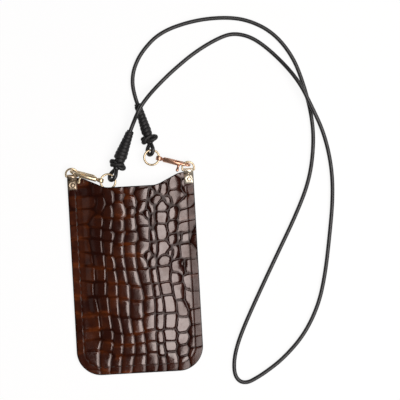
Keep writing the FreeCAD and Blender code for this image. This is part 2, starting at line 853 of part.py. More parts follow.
def cord_path(route):
    """Straight runs joined by tangent arcs, each as large as its two runs allow."""
    points = [Vector(*point) for point in route]
    edges = []
    radii = []
    here = points[0]
    for before, point, after in zip(points, points[1:], points[2:]):
        back = unit(before - point)
        ahead = unit(after - point)
        setback = arc_run_share * min((before - point).Length, (after - point).Length)
        half_turn = (math.pi - back.getAngle(ahead)) / 2
        radii.append(setback / math.tan(half_turn))
        first = point + back * setback
        last = point + ahead * setback
        edges.append(Part.LineSegment(here, first).toShape())
        edges.append(arc_between(first, point, last))
        here = last
    edges.append(Part.LineSegment(here, points[-1]).toShape())
    return edges, radii


def strap_cord():
    """The free stretch of the cord, from one whipping to the other."""
    edges, radii = cord_path(cord_route)
    start = Vector(*cord_route[0])
    way = unit(Vector(*cord_route[1]) - start)
    corners = polygon_corners(start, way, Vector(0, 0, 1), cord_radius, cord_sides)
    tube = Part.Wire(edges).makePipeShell([Part.makePolygon(corners + corners[:1])], True, False)
    length = sum(edge.Length for edge in edges)
    expected = polygon_area(cord_radius, cord_sides) * length
    print("cord: length", round(length, 1))
    print("cord: volume over section times length", round(tube.Volume / expected, 5))
    print("cord: bend radii", [round(radius, 1) for radius in radii])
    return tube


def snap_hook(hand, ring_centre, ring_angle, hook_heading, roll):
    """The pieces of one snap hook in place: the eye stays level, the rest is rolled about its length."""
    centre = Vector(ring_centre[0], ring_centre[1], hook_level)
    origin = centre + heading(ring_angle) * link_ring_radius
    forward = heading(hook_heading)
    upright = Vector(0, 0, 1)
    rolled = FreeCAD.Rotation(forward, -hand * roll).multVec(upright)
    return {
        "swivel_eye": stand(swivel_eye(), origin, forward, upright),
        "hook_body": stand(hook_body(), origin, forward, rolled),
        "hook_bolt": stand(hook_bolt(hand), origin, forward, rolled),
        "thumb_knob": stand(thumb_knob(hand), origin, forward, rolled),
        "bolt_spring": stand(bolt_spring(), origin, forward, rolled),
    }


def build():
    """Every piece of the pouch by name."""
    front_base = stack_height - stitch_groove_depth + layer_gap
    back_base = stitch_groove_depth - layer_gap
    pieces = {
        "front_panel": front_panel(),
        "back_panel": back_panel(),
        "seam_thread_front": stitches(front_base, front_base + thread_height),
        "seam_thread_back": stitches(back_base, back_base - thread_height),
        "strap_cord": strap_cord(),
    }
    clasps = {
        "right": (1, right_d_ring_tilt),
        "left": (-1, left_d_ring_tilt),
    }
    hooks = {
        "right": (-1, right_ring_centre, right_ring_angle, right_hook_heading, right_hook_roll),
        "left": (1, left_ring_centre, left_ring_angle, left_hook_heading, left_hook_roll),
    }
    ends = {
        "right": (right_loop_centre, right_knot_place, cord_route[-1], right_core_radius),
        "left": (left_loop_centre, left_knot_place, cord_route[0], left_core_radius),
    }
    for name, (side, tilt) in clasps.items():
        hand, ring_centre, ring_angle, hook_heading, roll = hooks[name]
        loop_centre, knot_place, whip_top, core_radius = ends[name]
        pieces["corner_clasp_" + name] = corner_clasp(side)
        pieces["clasp_post_" + name] = clasp_post(side)
        pieces["clasp_screw_" + name] = clasp_screw(side)
        pieces["d_ring_" + name] = d_ring(side, tilt)
        pieces["link_ring_" + name] = link_ring(ring_centre)
        for piece, shape in snap_hook(hand, ring_centre, ring_angle, hook_heading, roll).items():
            pieces[piece + "_" + name] = shape
        pieces["cord_end_" + name] = cord_end(loop_centre, knot_place, whip_top, core_radius)
        pieces["whipping_" + name] = whipping(knot_place, whip_top, core_radius)
        pieces["whipping_knot_" + name] = whipping_knot(knot_place, whip_top)
    return pieces


os.makedirs("parts", exist_ok=True)
for node, shape in build().items():
    shape.exportStep("parts/" + node + ".step")
    print(node, "solids", len(shape.Solids), "valid", shape.isValid(), "volume", round(shape.Volume, 2))
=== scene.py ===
import json
import math

import bmesh
import bpy
import numpy as np
from bpy.props import FloatProperty, FloatVectorProperty, IntProperty, PointerProperty
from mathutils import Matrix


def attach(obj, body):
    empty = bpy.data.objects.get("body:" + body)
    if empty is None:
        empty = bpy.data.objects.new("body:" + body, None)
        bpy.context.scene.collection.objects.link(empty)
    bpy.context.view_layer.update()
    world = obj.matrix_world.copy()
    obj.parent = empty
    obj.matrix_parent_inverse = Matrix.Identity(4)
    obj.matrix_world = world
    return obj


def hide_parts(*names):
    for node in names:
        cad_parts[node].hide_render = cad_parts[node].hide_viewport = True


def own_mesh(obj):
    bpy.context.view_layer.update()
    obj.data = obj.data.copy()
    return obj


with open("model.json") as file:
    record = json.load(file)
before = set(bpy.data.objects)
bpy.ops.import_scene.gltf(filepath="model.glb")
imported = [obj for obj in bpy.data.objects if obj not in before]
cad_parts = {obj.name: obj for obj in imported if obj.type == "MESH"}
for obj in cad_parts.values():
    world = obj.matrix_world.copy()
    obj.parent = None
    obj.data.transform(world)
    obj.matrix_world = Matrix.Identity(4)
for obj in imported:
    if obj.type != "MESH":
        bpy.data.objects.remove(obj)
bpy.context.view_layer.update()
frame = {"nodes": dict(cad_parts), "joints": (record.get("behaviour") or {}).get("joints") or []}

bl_info = {
    "name": "Phone pouch on a cord",
    "version": (1, 0, 0),
    "blender": (4, 5, 0),
    "location": "3D View > Sidebar > Pouch",
    "description": "Dresses the phone pouch: embossed leather, stitches, cord, whippings, gilt fittings",
    "category": "Object",
}

# Lengths in the working code are millimetres, and a finished mesh is in metres.
MM = 0.001

# The pouch's outline, as cut
HALF_WIDTH = 55.0
BOTTOM = -86.3
TOP = 86.3
CORNER_RADIUS = 21.5
SCOOP_DEPTH = 9.9
SCOOP_SHOULDER = 12.2
SCOOP_RUN = 20.3
SCOOP_BLEND = 18.0

# How the front stands off the back, and falls along its rim
LAYER_GAP = 0.05
BULGE_SIDE = 44.0
BULGE_LOW = -77.8
BULGE_RISE = 86.5
BULGE_SIDE_POWER = 2.8
BULGE_LOW_POWER = 3.0
BULGE_EDGE = 0.15
RIM_WIDTH = 8.5
RIM_FALL = 0.032

# Where the clasps press on the leather, and the bars of the D-rings
CLASP_X = 50.7
CLASP_LOW = 75.85
CLASP_HALF = 4.4
CLASP_MARGIN = 0.3
CLASP_FRONT_GAP = 0.03
CLASP_FRONT_LIFT = 0.1
CLASP_BACK = 0.78
BAR_Y = 87.45
BAR_Z = 2.0

# The panels' grid: cells across the middle, round a corner and upwards, and how much coarser the inside is
GRID_MIDDLE = 152
GRID_CORNER = 64
GRID_ROWS = 328
GRID_THIN = 4

# The embossing plate: lines between its columns and rows, and a long and a short wave that bend each
COLUMN_LINES = (-79, -57, -35.1, -25.2, -15.9, -6.6, 3.4, 14.0, 21.3, 31.9, 41.9, 57, 79)
ROW_LINES = (-100, -85, -69.3, -59.5, -49.4, -35.5, -20.2, -6.9, 5.8, 17.7, 29, 40.5, 52, 63.5, 75, 90)
COLUMN_WAVES = ((1.7, 23, 0.6), (0.9, 8.5, 14))
ROW_WAVES = ((1.6, 21, 1.1), (0.9, 7.6, -17))

# How unevenly the scales lie: where that grows, the shares of each draw, and the small scales that fill in
UNEVEN_X = 0.35
UNEVEN_Y = 0.7
UNEVEN_REACH = 32
EVEN_SHARE = 0.45
UNEVEN_SHARE = 0.65
COLUMN_SHARE = 0.4
COLUMN_SHIFT = 1.9
PLACE_SPREAD_X = 0.22
PLACE_SPREAD_Y = 0.26
SIZE_SPREAD = (-0.3, 0.18)
SMALL_COUNT = 8
SMALL_COLUMNS = slice(7, 11)
SMALL_ROWS = slice(8, 15)
SMALL_HALF = (3.1, 4.4)
SMALL_TALL = (1.0, 1.3)
BACK_SEED = 20

# The shape of a scale: hollows where three meet, in shares and groove widths, its swell and its lean
HOLLOW_DEPTH = 0.8
HOLLOW_DEEPER = 0.2
HOLLOW_WIDTH = 1.8
HOLLOW_WIDER = 0.9
PILLOW_WIDTH = 4.4
LEAN_SHARE = 0.5

# How deep the plate pressed on the rim and at the upper left, the stitches' channel, and the cut edge
RIM_BAND = (5.5, 9.0)
RIM_PRESS = 0.45
RIM_PRESS_RIGHT = 0.35
RIM_RIGHT_AT = 40
FAINT_SHARE = 0.4
FAINT_SLOPE = 0.6
FAINT_BAND = (30, 70)
CHANNEL_HALF = 0.55
CHANNEL_DEPTH = 0.14
CHANNEL_END = (1.0, 2.5)
EDGE_ROUND = 0.55
# Edge paint on the cut edge, partly real and partly painted shade: widened onto the face where the rounded
# edge turns away from the light
EDGE_PAINT = (0.5, 0.95)

# The dye: warmer on the left, thin in waves and at the ends of the scales; and painted shade that darkens
# the grooves, more on the right
WARM_LEAST = 0.3
WARM_BAND = (-22, 18)
DYE_WAVE_X = (9.7, 1.7, 14)
DYE_WAVE_Y = (11.3, 1.3, 16)
DYE_BAND = (-0.6, 0.7)
SCALE_END = (0.5, 1.0)
SCALE_RUST = 0.4
# Painted shade in the grooves: its strength, and how much less of it there is on the left
GROOVE_SHADE = 1.15
GROOVE_SHADE_WARM = 0.75

# Where the gloss is lost: on the flanks of the grooves, in the channel, on the rim and at the edge
FLANK_FROM = 0.16
FLANK_FROM_WARM = 0.13
FLANK_TO = 1.1
FLANK_TO_WARM = 0.7
CHANNEL_DULL = (0.02, 0.3)
RIM_DULL = 0.75
EDGE_DULL = 0.7
INSIDE_FIELDS = {"shade": 0.0, "tone": 0.5, "rust": 0.0, "inside": 1.0, "dull": 1.0}
INSIDE_EDGE = 0.01

# Grain of the finishes: turns per metre, detail, roughness
DYE_PATCHES = (70.0, 4.0, 0.6)
SHEEN_PATCHES = (130.0, 3.0, 0.55)
CREASES = (420.0, 3.0, 0.6)
PORES = (2600.0, 2.0, 0.55)
THREAD_TWIST = (3200.0, 2.0, 0.5)
CORD_WEAR = (160.0, 4.0, 0.6)
CORD_GRAIN = (2200.0, 3.0, 0.6)
LACE_GRAIN = (1500.0, 3.0, 0.6)
SMEARS = (240.0, 4.0, 0.6)
SCRATCHES = (900.0, 2.0, 0.5)

# The leather's finish: shares of pale dye, bump, roughness, coat and matt surface
PALE_SHARE = 0.35
PORE_SHARE = 0.25
CREASE_SHARE = 0.75
BASE_ROUGH = 0.12
CREASE_ROUGH = 0.09
SHEEN_ROUGH = 0.07
FLESH_ROUGH = 0.5
TONE_COAT = 0.85
SHEEN_COAT = 0.55
MATT_SHARE = 0.74

# The finish of the cord, the metal and the table
CORD_ROUGH = 0.14
SMEAR_SHADE = 0.82
SMEAR_SHARE = 0.5
SMEAR_ROUGH = 0.08
SCRATCH_ROUGH = 0.05
TABLE_GLOW = 0.88

# The stitches along the seam
STITCH_COUNT = 65
STITCH_SIDES = 8
STITCH_STEPS = 9
STITCH_SLANT = 0.12
STITCH_DIP = 0.45
STITCH_BLUNT = 0.05
STITCH_SINK = 0.12
STITCH_BACK = 0.36
SEAM_TOP = CLASP_LOW - 2.5
SEAM_BEND_STEP = 3.0
SEAM_AHEAD = 0.2

# The cord's route over the table, from the left whipping's top to the right one's
CORD_ROUTE = (
    (2.9, 125.2, 7.0), (5.5, 131.1, 7.1), (9.5, 139.0, 11.5), (13.6, 145.9, 11.6),
    (21.0, 155.0, 8.0), (31.0, 165.0, 3.2), (43.0, 175.5, 1.9), (63.2, 190.6, 1.9),
    (86.5, 202.4, 1.9), (99.7, 204.2, 1.9), (115.6, 198.3, 1.9), (134.8, 180.4, 2.4),
    (150.8, 159.1, 8.9), (160.2, 137.5, 8.9), (170.4, 113.5, 2.4), (175.5, 84.3, 1.9),
    (175.0, 55.5, 1.9), (169.4, 18.3, 1.9), (164.3, -10.6, 1.9), (157.2, -36.0, 1.9),
    (143.6, -60.8, 1.9), (124.7, -80.2, 1.9), (108.6, -91.4, 1.9), (98.5, -97.0, 1.9),
    (92.0, -99.8, 1.9), (85.6, -99.0, 1.9), (81.4, -93.4, 1.9), (80.8, -83.6, 1.9),
    (83.2, -71.3, 1.9), (89.2, -55.9, 1.9), (100.7, -32.9, 1.9), (120.5, 4.1, 1.9),
    (142.3, 43.8, 1.9), (155.8, 74.0, 1.9), (161.2, 105.1, 1.9), (160.6, 129.6, 1.9),
    (155.1, 156.7, 1.9), (147.0, 181.5, 1.9), (131.2, 203.1, 1.9), (109.6, 215.4, 1.9),
    (87.5, 218.9, 1.9), (60.3, 217.0, 1.9), (32.8, 208.7, 1.9), (16.5, 193.4, 1.9),
    (8.6, 179.5, 1.9), (6.2, 167.5, 1.9), (7.3, 156.4, 2.4), (9.5, 148.3, 3.0),
)

# The cord's two ends: loop centre, knot, top of the whipping, radius of the core at its fullest
CORD_ENDS = {
    "left": ((-15.0, 86.2, 6.5), (-11.9, 91.9, 6.2), CORD_ROUTE[0], 4.4),
    "right": ((18.7, 106.6, 6.5), (19.1, 112.6, 6.0), CORD_ROUTE[-1], 3.2),
}
LOOP_BEND = 4.0
LOOP_ROLL = 38.0
LOOP_APEX = 1.0
CORE_ROOT = 2.75
CORE_NECK = 6.5
CORE_SWELL = 11.0
CORE_STEPS = 60

# The lace of a whipping: where it starts and ends, and how unevenly it lies
LACE_SEED = 3
LACE_START = 7.6
LACE_END_GAP = 1.2
LACE_TURN_STEPS = 40
LACE_HEIGHTS = (-0.08, 0.1)
LACE_SHIFT = 0.25
LACE_LIFT = 1.3
LACE_TIP_TURNS = 0.35
LACE_TIP_WIDTH = 0.3

# The knot under a whipping: its round, its weave, its place along the cord, and how flat it is pressed
KNOT_RADIUS = 4.85
KNOT_WEAVE = 1.65
KNOT_LOBES = 1.5
KNOT_PLACE = 3.9
KNOT_REACH = 1.75
KNOT_PRESS = 0.57
KNOT_PHASE = 0.9
KNOT_PHASE_STEP = 0.7
KNOT_SWELL = 0.04
KNOT_STEPS = 220

# Rings: side of the pouch, tilt of the D-ring, centre of the link ring
RINGS = {
    "left": (-1, 25.0, (-19.4, 81.45, 6.5)),
    "right": (1, 18.0, (19.6, 100.2, 6.5)),
}
D_RING_CLEAR = 4.3
D_RING_BEND = 1.25
D_RING_LEG = 1.25
LINK_STEPS = 72

# Solids that keep their shape and get a smooth gilt copy, each with the body that it rides on
GILT_NODES = (
    ("corner_clasp", "pouch"), ("clasp_post", "pouch"), ("clasp_screw", "pouch"), ("swivel_eye", "eye_"),
    ("hook_body", "hook_"), ("hook_bolt", "bolt_"), ("thumb_knob", "bolt_"),
)
MERGE_METRES = 2e-7
SHARP_DEGREES = 50

# The table, and in metres the level at which the view's width is measured and the camera's reach
TABLE_HALF = 9000.0
TABLE_LEVEL = -0.3
FRAME_LEVEL = 0.003
CAMERA_REACH = 50.0


def metres(name, description, default):
    """A property that holds a length."""
    return FloatProperty(name=name, description=description, default=default, unit="LENGTH")


def colour(name, description, default):
    """A property that holds a colour."""
    return FloatVectorProperty(name=name, description=description, default=default, subtype="COLOR")


def degrees(name, description, default):
    """A property that holds an angle."""
    default = math.radians(default)
    return FloatProperty(name=name, description=description, default=default, subtype="ANGLE")


def watts(name, description, default):
    """A property that holds a lamp's power."""
    return FloatProperty(name=name, description=description, default=default, subtype="POWER")


class PouchLeather(bpy.types.PropertyGroup):
    """Sizes and colours of the leather panels and their seam."""
    thickness: metres("Thickness", "Leather thickness", 0.0016)
    bulge: metres("Bulge", "How far the front stands off", 0.0085)
    relief: metres("Relief", "Depth between the scales", 0.00074)
    groove: metres("Groove", "Half width of a groove", 0.0005)
    crown: metres("Crown", "How far a scale swells", 0.0003)
    seam_inset: metres("Seam inset", "Edge to stitches", 0.00675)
    stitch: metres("Stitch", "Length of a stitch", 0.0042)
    thread: metres("Thread", "Thickness of the thread", 0.00066)
    seed: IntProperty(name="Seed", description="Which run of scales is pressed", default=11)
    brown: colour("Brown", "Body of the leather", (0.0219, 0.0045, 0.0025))
    rust: colour("Rust", "Where the dye is thin", (0.156, 0.034, 0.006))
    pale: colour("Pale", "Scales that took less dye", (0.045, 0.0112, 0.0055))
    # Painted shade: the near-black brown that the grooves are darkened towards
    painted_groove_shade: colour("Dark", "Floor of a groove", (0.0056, 0.002, 0.0015))
    gloss: colour("Gloss", "Tint of the polish", (1.0, 0.85, 0.8))
    # Real edge paint, which also serves as painted shade along the rim of the face
    paint: colour("Edge paint", "Painted cut edge", (0.0075, 0.0062, 0.0062))
    flesh: colour("Flesh side", "Inside of the leather", (0.056, 0.032, 0.022))
    thread_colour: colour("Thread colour", "Waxed thread", (0.015, 0.01, 0.009))
    thread_worn: colour("Worn thread", "Where the thread is rubbed", (0.037, 0.025, 0.02))


class PouchCord(bpy.types.PropertyGroup):
    """Sizes and colours of the cord and its whippings."""
    diameter: metres("Cord", "Thickness of the cord", 0.0035)
    length: metres("Length", "Free length of the cord", 0.9999)
    lace_width: metres("Lace width", "Width of the lace", 0.0035)
    lace_height: metres("Lace height", "Height of the lace", 0.0012)
    turns: IntProperty(name="Turns", description="Turns of lace in a whipping", default=9)
    black: colour("Black", "Dyed cord", (0.013, 0.013, 0.0137))
    worn: colour("Worn", "Where the cord is rubbed", (0.035, 0.034, 0.032))


class PouchMetal(bpy.types.PropertyGroup):
    """Sizes and colours of the fittings."""
    d_ring_wire: metres("D-ring wire", "Its thickness", 0.0017)
    link_wire: metres("Link wire", "Its thickness", 0.0018)
    link_radius: metres("Link ring", "Its radius", 0.00645)
    gold: colour("Gold", "Pale gilt", (0.69, 0.55, 0.36))
    # Painted light: the right clasp's gilt made paler, as if lit more than the left
    lit_clasp_gilt: colour("Champagne", "Satin gilt of the right clasp", (0.95, 0.87, 0.71))
    # Painted shade: the left clasp's gilt made darker, as if shaded
    shaded_clasp_gilt: colour("Dulled", "Rubbed gilt of the left clasp", (0.44, 0.35, 0.25))
    # Painted reflection: a rosy tint on the right hook that stands for the brown leather reflected in it
    reflected_rose: colour("Rose", "Rosier gilt of the right hook", (0.6, 0.33, 0.22))
    steel: colour("Steel", "Spring steel", (0.6, 0.6, 0.62))


class PouchStage(bpy.types.PropertyGroup):
    """Camera, light and floor."""
    frame_width: metres("Frame", "Width that the view takes in", 0.3478)
    distance: metres("Distance", "Camera above the table", 1.6)
    centre: FloatVectorProperty(
        name="Centre", description="Point under the camera", size=2, subtype="XYZ",
        default=(0.05945, 0.06105))
    roll: degrees("Roll", "Turn of the view", -3.2)
    softbox_lean: degrees("Softbox lean", "Angle off the vertical", 25.2)
    softbox_power: watts("Softbox power", "Light of the softbox", 94.0)
    fill_lean: degrees("Fill lean", "Angle off the vertical", -58)
    fill_power: watts("Fill power", "Light of the fill", 0.2)
    world: FloatProperty(name="World", description="Light from all round", default=0.018)
    light: colour("Light", "Colour of the lamps", (1.0, 0.955, 0.94))
    floor: colour("Floor", "Colour of the table", (0.97, 0.97, 0.97))


class PouchSettings(bpy.types.PropertyGroup):
    """Everything a user may change."""
    leather: PointerProperty(name="Leather", description="Panels and seam", type=PouchLeather)
    cord: PointerProperty(name="Cord", description="Cord and whippings", type=PouchCord)
    metal: PointerProperty(name="Metal", description="Rings, clasps and hooks", type=PouchMetal)
    stage: PointerProperty(name="Stage", description="Camera, light and floor", type=PouchStage)


def settings():
    """The scene's settings."""
    return bpy.context.scene.pouch


class Value:
    """A shader socket that takes part in sums: each operator adds one Math node."""

    def __init__(self, paint, socket):
        self.paint = paint
        self.socket = socket

    def maths(self, operation, first, second, clamp=False):
        choices = {"operation": operation, "use_clamp": clamp}
        return self.paint.node("ShaderNodeMath", choices, {0: first, 1: second})

    def __add__(self, other):
        return self.maths("ADD", self, other)

    def __sub__(self, other):
        return self.maths("SUBTRACT", self, other)

    def __rsub__(self, other):
        return self.maths("SUBTRACT", other, self)

    def __mul__(self, other):
        return self.maths("MULTIPLY", self, other)

    __radd__ = __add__
    __rmul__ = __mul__

    def clamped(self):
        return self.maths("ADD", self, 0.0, clamp=True)


class Paint:
    """A material or a world under construction."""

    def __init__(self, owner, output="ShaderNodeOutputMaterial"):
        self.owner = owner
        self.owner.use_nodes = True
        self.tree = self.owner.node_tree
        self.tree.nodes.clear()
        self.output = self.tree.nodes.new(output)

    def node(self, kind, choices=None, inputs=None, out=0):
        """Adds a node: its choices first, then the values or links of its sockets."""
        node = self.tree.nodes.new(kind)
        for key, choice in (choices or {}).items():
            setattr(node, key, choice)
        for key, value in (inputs or {}).items():
            socket = node.inputs[key]
            if isinstance(value, Value):
                self.tree.links.new(value.socket, socket)
            elif socket.type == "RGBA":
                socket.default_value = (*value, 1.0)
            else:
                socket.default_value = value
        return Value(self, node.outputs[out])

    def field(self, name):
        """A number that the mesh carries at each point."""
        return self.node("ShaderNodeAttribute", {"attribute_name": name}, out="Fac")

    def noise(self, grain, stretch=(1, 1, 1), turn=0.0):
        """Noise of a grain on the piece's own place, stretched and turned."""
        place = self.node("ShaderNodeTexCoord", out="Object")
        placing = {"Vector": place, "Scale": stretch, "Rotation": (0, 0, turn)}
        moved = self.node("ShaderNodeMapping", None, placing)
        sizes = dict(zip(("Scale", "Detail", "Roughness"), grain))
        return self.node("ShaderNodeTexNoise", None, {"Vector": moved, **sizes})

    def ramp(self, value, low, high):
        """A straight rise from 0 at low to 1 at high."""
        limits = {"Value": value, "From Min": low, "From Max": high}
        return self.node("ShaderNodeMapRange", {"clamp": True}, limits)

    def mix(self, share, first, second):
        """A colour between two, by share."""
        choices = {"data_type": "RGBA", "clamp_factor": True}
        return self.node("ShaderNodeMix", choices, {0: share, 6: first, 7: second}, out=2)

    def bump(self, height, distance, strength):
        """A normal bent by a height."""
        sizes = {"Height": height, "Distance": distance, "Strength": strength}
        return self.node("ShaderNodeBump", None, sizes)

    def covered(self, share, shader, over):
        """One surface with a share of another over it."""
        return self.node("ShaderNodeMixShader", None, {0: share, 1: shader, 2: over})

    def show(self, shader):
        """Gives the material or the world its surface."""
        self.tree.links.new(shader.socket, self.output.inputs["Surface"])
        return self.owner

    def principled(self, **inputs):
        """A principled surface with the given sockets."""
        named = {key.replace("_", " "): value for key, value in inputs.items()}
        return self.node("ShaderNodeBsdfPrincipled", None, named)


def leather_material(name):
    """Glossy embossed leather: brown with thin-dyed rust, painted shade in the grooves, edge paint that
    also stands in as painted shade along the rim, and a flesh side.
    """
    leather = settings().leather
    paint = Paint(bpy.data.materials.new(name))
    tone = paint.field("tone")
    inside = paint.field("inside")
    patches = paint.ramp(paint.noise(DYE_PATCHES), low=0.36, high=0.66)
    thin = (paint.field("rust") * patches).clamped()
    body = paint.mix(thin, leather.brown, leather.rust)
    body = paint.mix((paint.ramp(tone, low=0.55, high=1.0) * PALE_SHARE).clamped(), body, leather.pale)
    # Painted shade: the grooves are darkened by the mesh's shade field
    grooved = paint.mix(paint.field("shade"), body, leather.painted_groove_shade)
    lined = paint.mix(inside, grooved, leather.flesh)
    # Edge paint: partly real, partly painted shade where the rounded edge turns away
    edged = paint.mix(paint.field("paint"), lined, leather.paint)
    creases = paint.noise(CREASES, stretch=(1.0, 0.22, 1.0), turn=0.1)
    height = paint.noise(PORES) * PORE_SHARE + creases * CREASE_SHARE
    normal = paint.bump(height, distance=0.00012, strength=0.35)
    sheen = paint.ramp(paint.noise(SHEEN_PATCHES), low=0.36, high=0.66)
    rough = paint.ramp(creases, low=0.3, high=0.75) * CREASE_ROUGH + sheen * SHEEN_ROUGH
    rough = rough + inside * FLESH_ROUGH + BASE_ROUGH
    coat = (1 - inside) * (tone * TONE_COAT + (1 - sheen) * SHEEN_COAT).clamped()
    glossy = paint.principled(
        Base_Color=edged, Roughness=rough, Specular_IOR_Level=0.74, Specular_Tint=leather.gloss,
        Coat_Weight=coat, Coat_Roughness=0.08, Normal=normal)
    matt = paint.node("ShaderNodeBsdfDiffuse", None, {"Color": edged, "Normal": normal})
    return paint.show(paint.covered(paint.field("dull") * MATT_SHARE, glossy, matt))


def thread_material():
    """Waxed thread with a fine twist."""
    leather = settings().leather
    paint = Paint(bpy.data.materials.new("waxed_thread"))
    twist = paint.noise(THREAD_TWIST, stretch=(1.0, 0.35, 1.0), turn=0.7)
    tint = paint.mix(paint.ramp(twist, low=0.35, high=0.7), leather.thread_colour, leather.thread_worn)
    normal = paint.bump(twist, distance=0.0001, strength=0.6)
    return paint.show(paint.principled(Base_Color=tint, Roughness=0.72, Normal=normal))


def cord_material(name, grain, gloss, lustre):
    """Black leather with a fine grain, rubbed grey in places."""
    cord = settings().cord
    paint = Paint(bpy.data.materials.new(name))
    fine = paint.noise(grain)
    wear = paint.ramp(paint.noise(CORD_WEAR), low=0.45, high=0.75)
    rubbed = wear * paint.ramp(fine, low=0.4, high=0.7)
    tint = paint.mix(rubbed, cord.black, cord.worn)
    rough = paint.ramp(fine, low=0.3, high=0.75) * CORD_ROUGH + gloss
    normal = paint.bump(fine, distance=0.00015, strength=0.3)
    return paint.show(paint.principled(
        Base_Color=tint, Roughness=rough, Specular_IOR_Level=lustre, Normal=normal))


def metal_material(name, plating, gloss):
    """Polished plating with faint handling marks."""
    paint = Paint(bpy.data.materials.new(name))
    smear = paint.noise(SMEARS)
    scratch = paint.noise(SCRATCHES, stretch=(1.0, 0.05, 1.0), turn=0.5)
    shade = tuple(SMEAR_SHADE * part for part in plating)
    tint = paint.mix(paint.ramp(smear, low=0.35, high=0.75) * SMEAR_SHARE, plating, shade)
    rough = paint.ramp(smear, low=0.35, high=0.8) * SMEAR_ROUGH
    rough = rough + paint.ramp(scratch, low=0.55, high=0.75) * SCRATCH_ROUGH + gloss
    normal = paint.bump(scratch, distance=0.00001, strength=0.1)
    return paint.show(paint.principled(Base_Color=tint, Metallic=0.78, Roughness=rough, Normal=normal))


def floor_material():
    """A white table: bright to the camera and to reflections, and shaded a little by what lies on it."""
    paint = Paint(bpy.data.materials.new("white_table"))
    rays = ("Is Camera Ray", "Is Glossy Ray", "Is Transmission Ray")
    camera, glossy, through = (paint.node("ShaderNodeLightPath", out=ray) for ray in rays)
    seen = (camera + glossy + through).clamped()
    matt = paint.node("ShaderNodeBsdfDiffuse", None, {"Color": settings().stage.floor})
    white = paint.node("ShaderNodeEmission", None, {"Color": (1, 1, 1), "Strength": 1.0})
    return paint.show(paint.covered(seen * TABLE_GLOW, matt, white))


def set_down(name, data, body=None):
    """Puts a mesh, curve, lamp or camera into the scene, and lets a piece ride on its body."""
    thing = bpy.data.objects.new(name, data)
    bpy.context.scene.collection.objects.link(thing)
    if body:
        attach(thing, body)
    return thing


def add_piece(name, surface, material, body=None, fields=None):
    """Puts points, in millimetres, and faces into a smooth mesh object that rides on a body."""
    points, faces = surface
    mesh = bpy.data.meshes.new(name)
    mesh.from_pydata(np.asarray(points, float) * MM, [], faces)
    mesh.polygons.foreach_set("use_smooth", np.ones(len(mesh.polygons), bool))
    for key, values in (fields or {}).items():
        attribute = mesh.attributes.new(key, "FLOAT", "POINT")
        attribute.data.foreach_set("value", np.asarray(values, np.float32))
    mesh.materials.append(material)
    return set_down(name, mesh, body)


def joined(surfaces):
    """Several surfaces as one."""
    points, faces, start = [], [], 0
    for part, part_faces in surfaces:
        points.append(part)
        faces += [[index + start for index in face] for face in part_faces]
        start += len(part)
    return np.concatenate(points), faces


def unit(vectors):
    """Vectors at length one."""
    vectors = np.asarray(vectors, float)
    return vectors / np.linalg.norm(vectors, axis=-1, keepdims=True)


def smooth_step(value, low, high):
    """0 below low, 1 above high, and 3t^2 - 2t^3 between."""
    share = np.clip((value - low) / (high - low), 0, 1)
    return share * share * (3 - 2 * share)


def tube(path, reference, radii, sides, closed=False, flat=1.0):
    """A round section carried along a path: p(s, a) = c(s) + r(s) (flat cos(a) side + sin(a) rise).
    side is the path's direction crossed with the reference, and rise lies towards the reference."""
    path = np.asarray(path, float)
    if closed:
        ahead = unit(np.roll(path, -1, 0) - np.roll(path, 1, 0))
    else:
        ahead = unit(np.gradient(path, axis=0))
    side = unit(np.cross(ahead, np.broadcast_to(reference, path.shape)))
    rise = np.cross(side, ahead)
    radii = np.broadcast_to(radii, (len(path),))[:, None, None]
    angle = np.linspace(0, 2 * np.pi, sides, endpoint=False)[None, :, None]
    ring = flat * np.cos(angle) * side[:, None] + np.sin(angle) * rise[:, None]
    points = (path[:, None] + radii * ring).reshape(-1, 3)
    rows = np.arange(len(path) if closed else len(path) - 1)[:, None]
    columns = np.arange(sides)[None, :]
    here = rows * sides
    after = (rows + 1) % len(path) * sides
    beside = (columns + 1) % sides
    corners = np.broadcast_arrays(here + columns, after + columns, after + beside, here + beside)
    faces = np.stack(corners, -1).reshape(-1, 4).tolist()
    if not closed:
        last = (len(path) - 1) * sides
        faces.append(list(range(sides)))
        faces.append(list(range(last + sides - 1, last - 1, -1)))
    return points, faces


def bent_path(start, way, normal, moves, step=7.5):
    """Points of a wire in one plane: each move is a straight length, or a bend's radius and its turn."""
    here, way, normal = (np.asarray(vector, float) for vector in (start, way, normal))
    runs = [here[None]]
    for length, turn in moves:
        if turn == 0:
            runs.append(here + way * length * np.linspace(0.5, 1, 2)[:, None])
        else:
            inward = np.cross(normal, way)
            swing = np.radians(turn) * np.linspace(0, 1, math.ceil(turn / step) + 1)[1:, None]
            centre = here + inward * length
            runs.append(centre + length * (np.sin(swing) * way - np.cos(swing) * inward))
            way = np.cos(swing[-1]) * way + np.sin(swing[-1]) * inward
        here = runs[-1][-1]
    return np.concatenate(runs)


def outline_low(x):
    """The pouch's lower edge: flat, with a quarter circle at each corner."""
    over = np.clip(np.abs(x) - (HALF_WIDTH - CORNER_RADIUS), 0, CORNER_RADIUS)
    return BOTTOM + CORNER_RADIUS - np.sqrt(CORNER_RADIUS ** 2 - over ** 2)


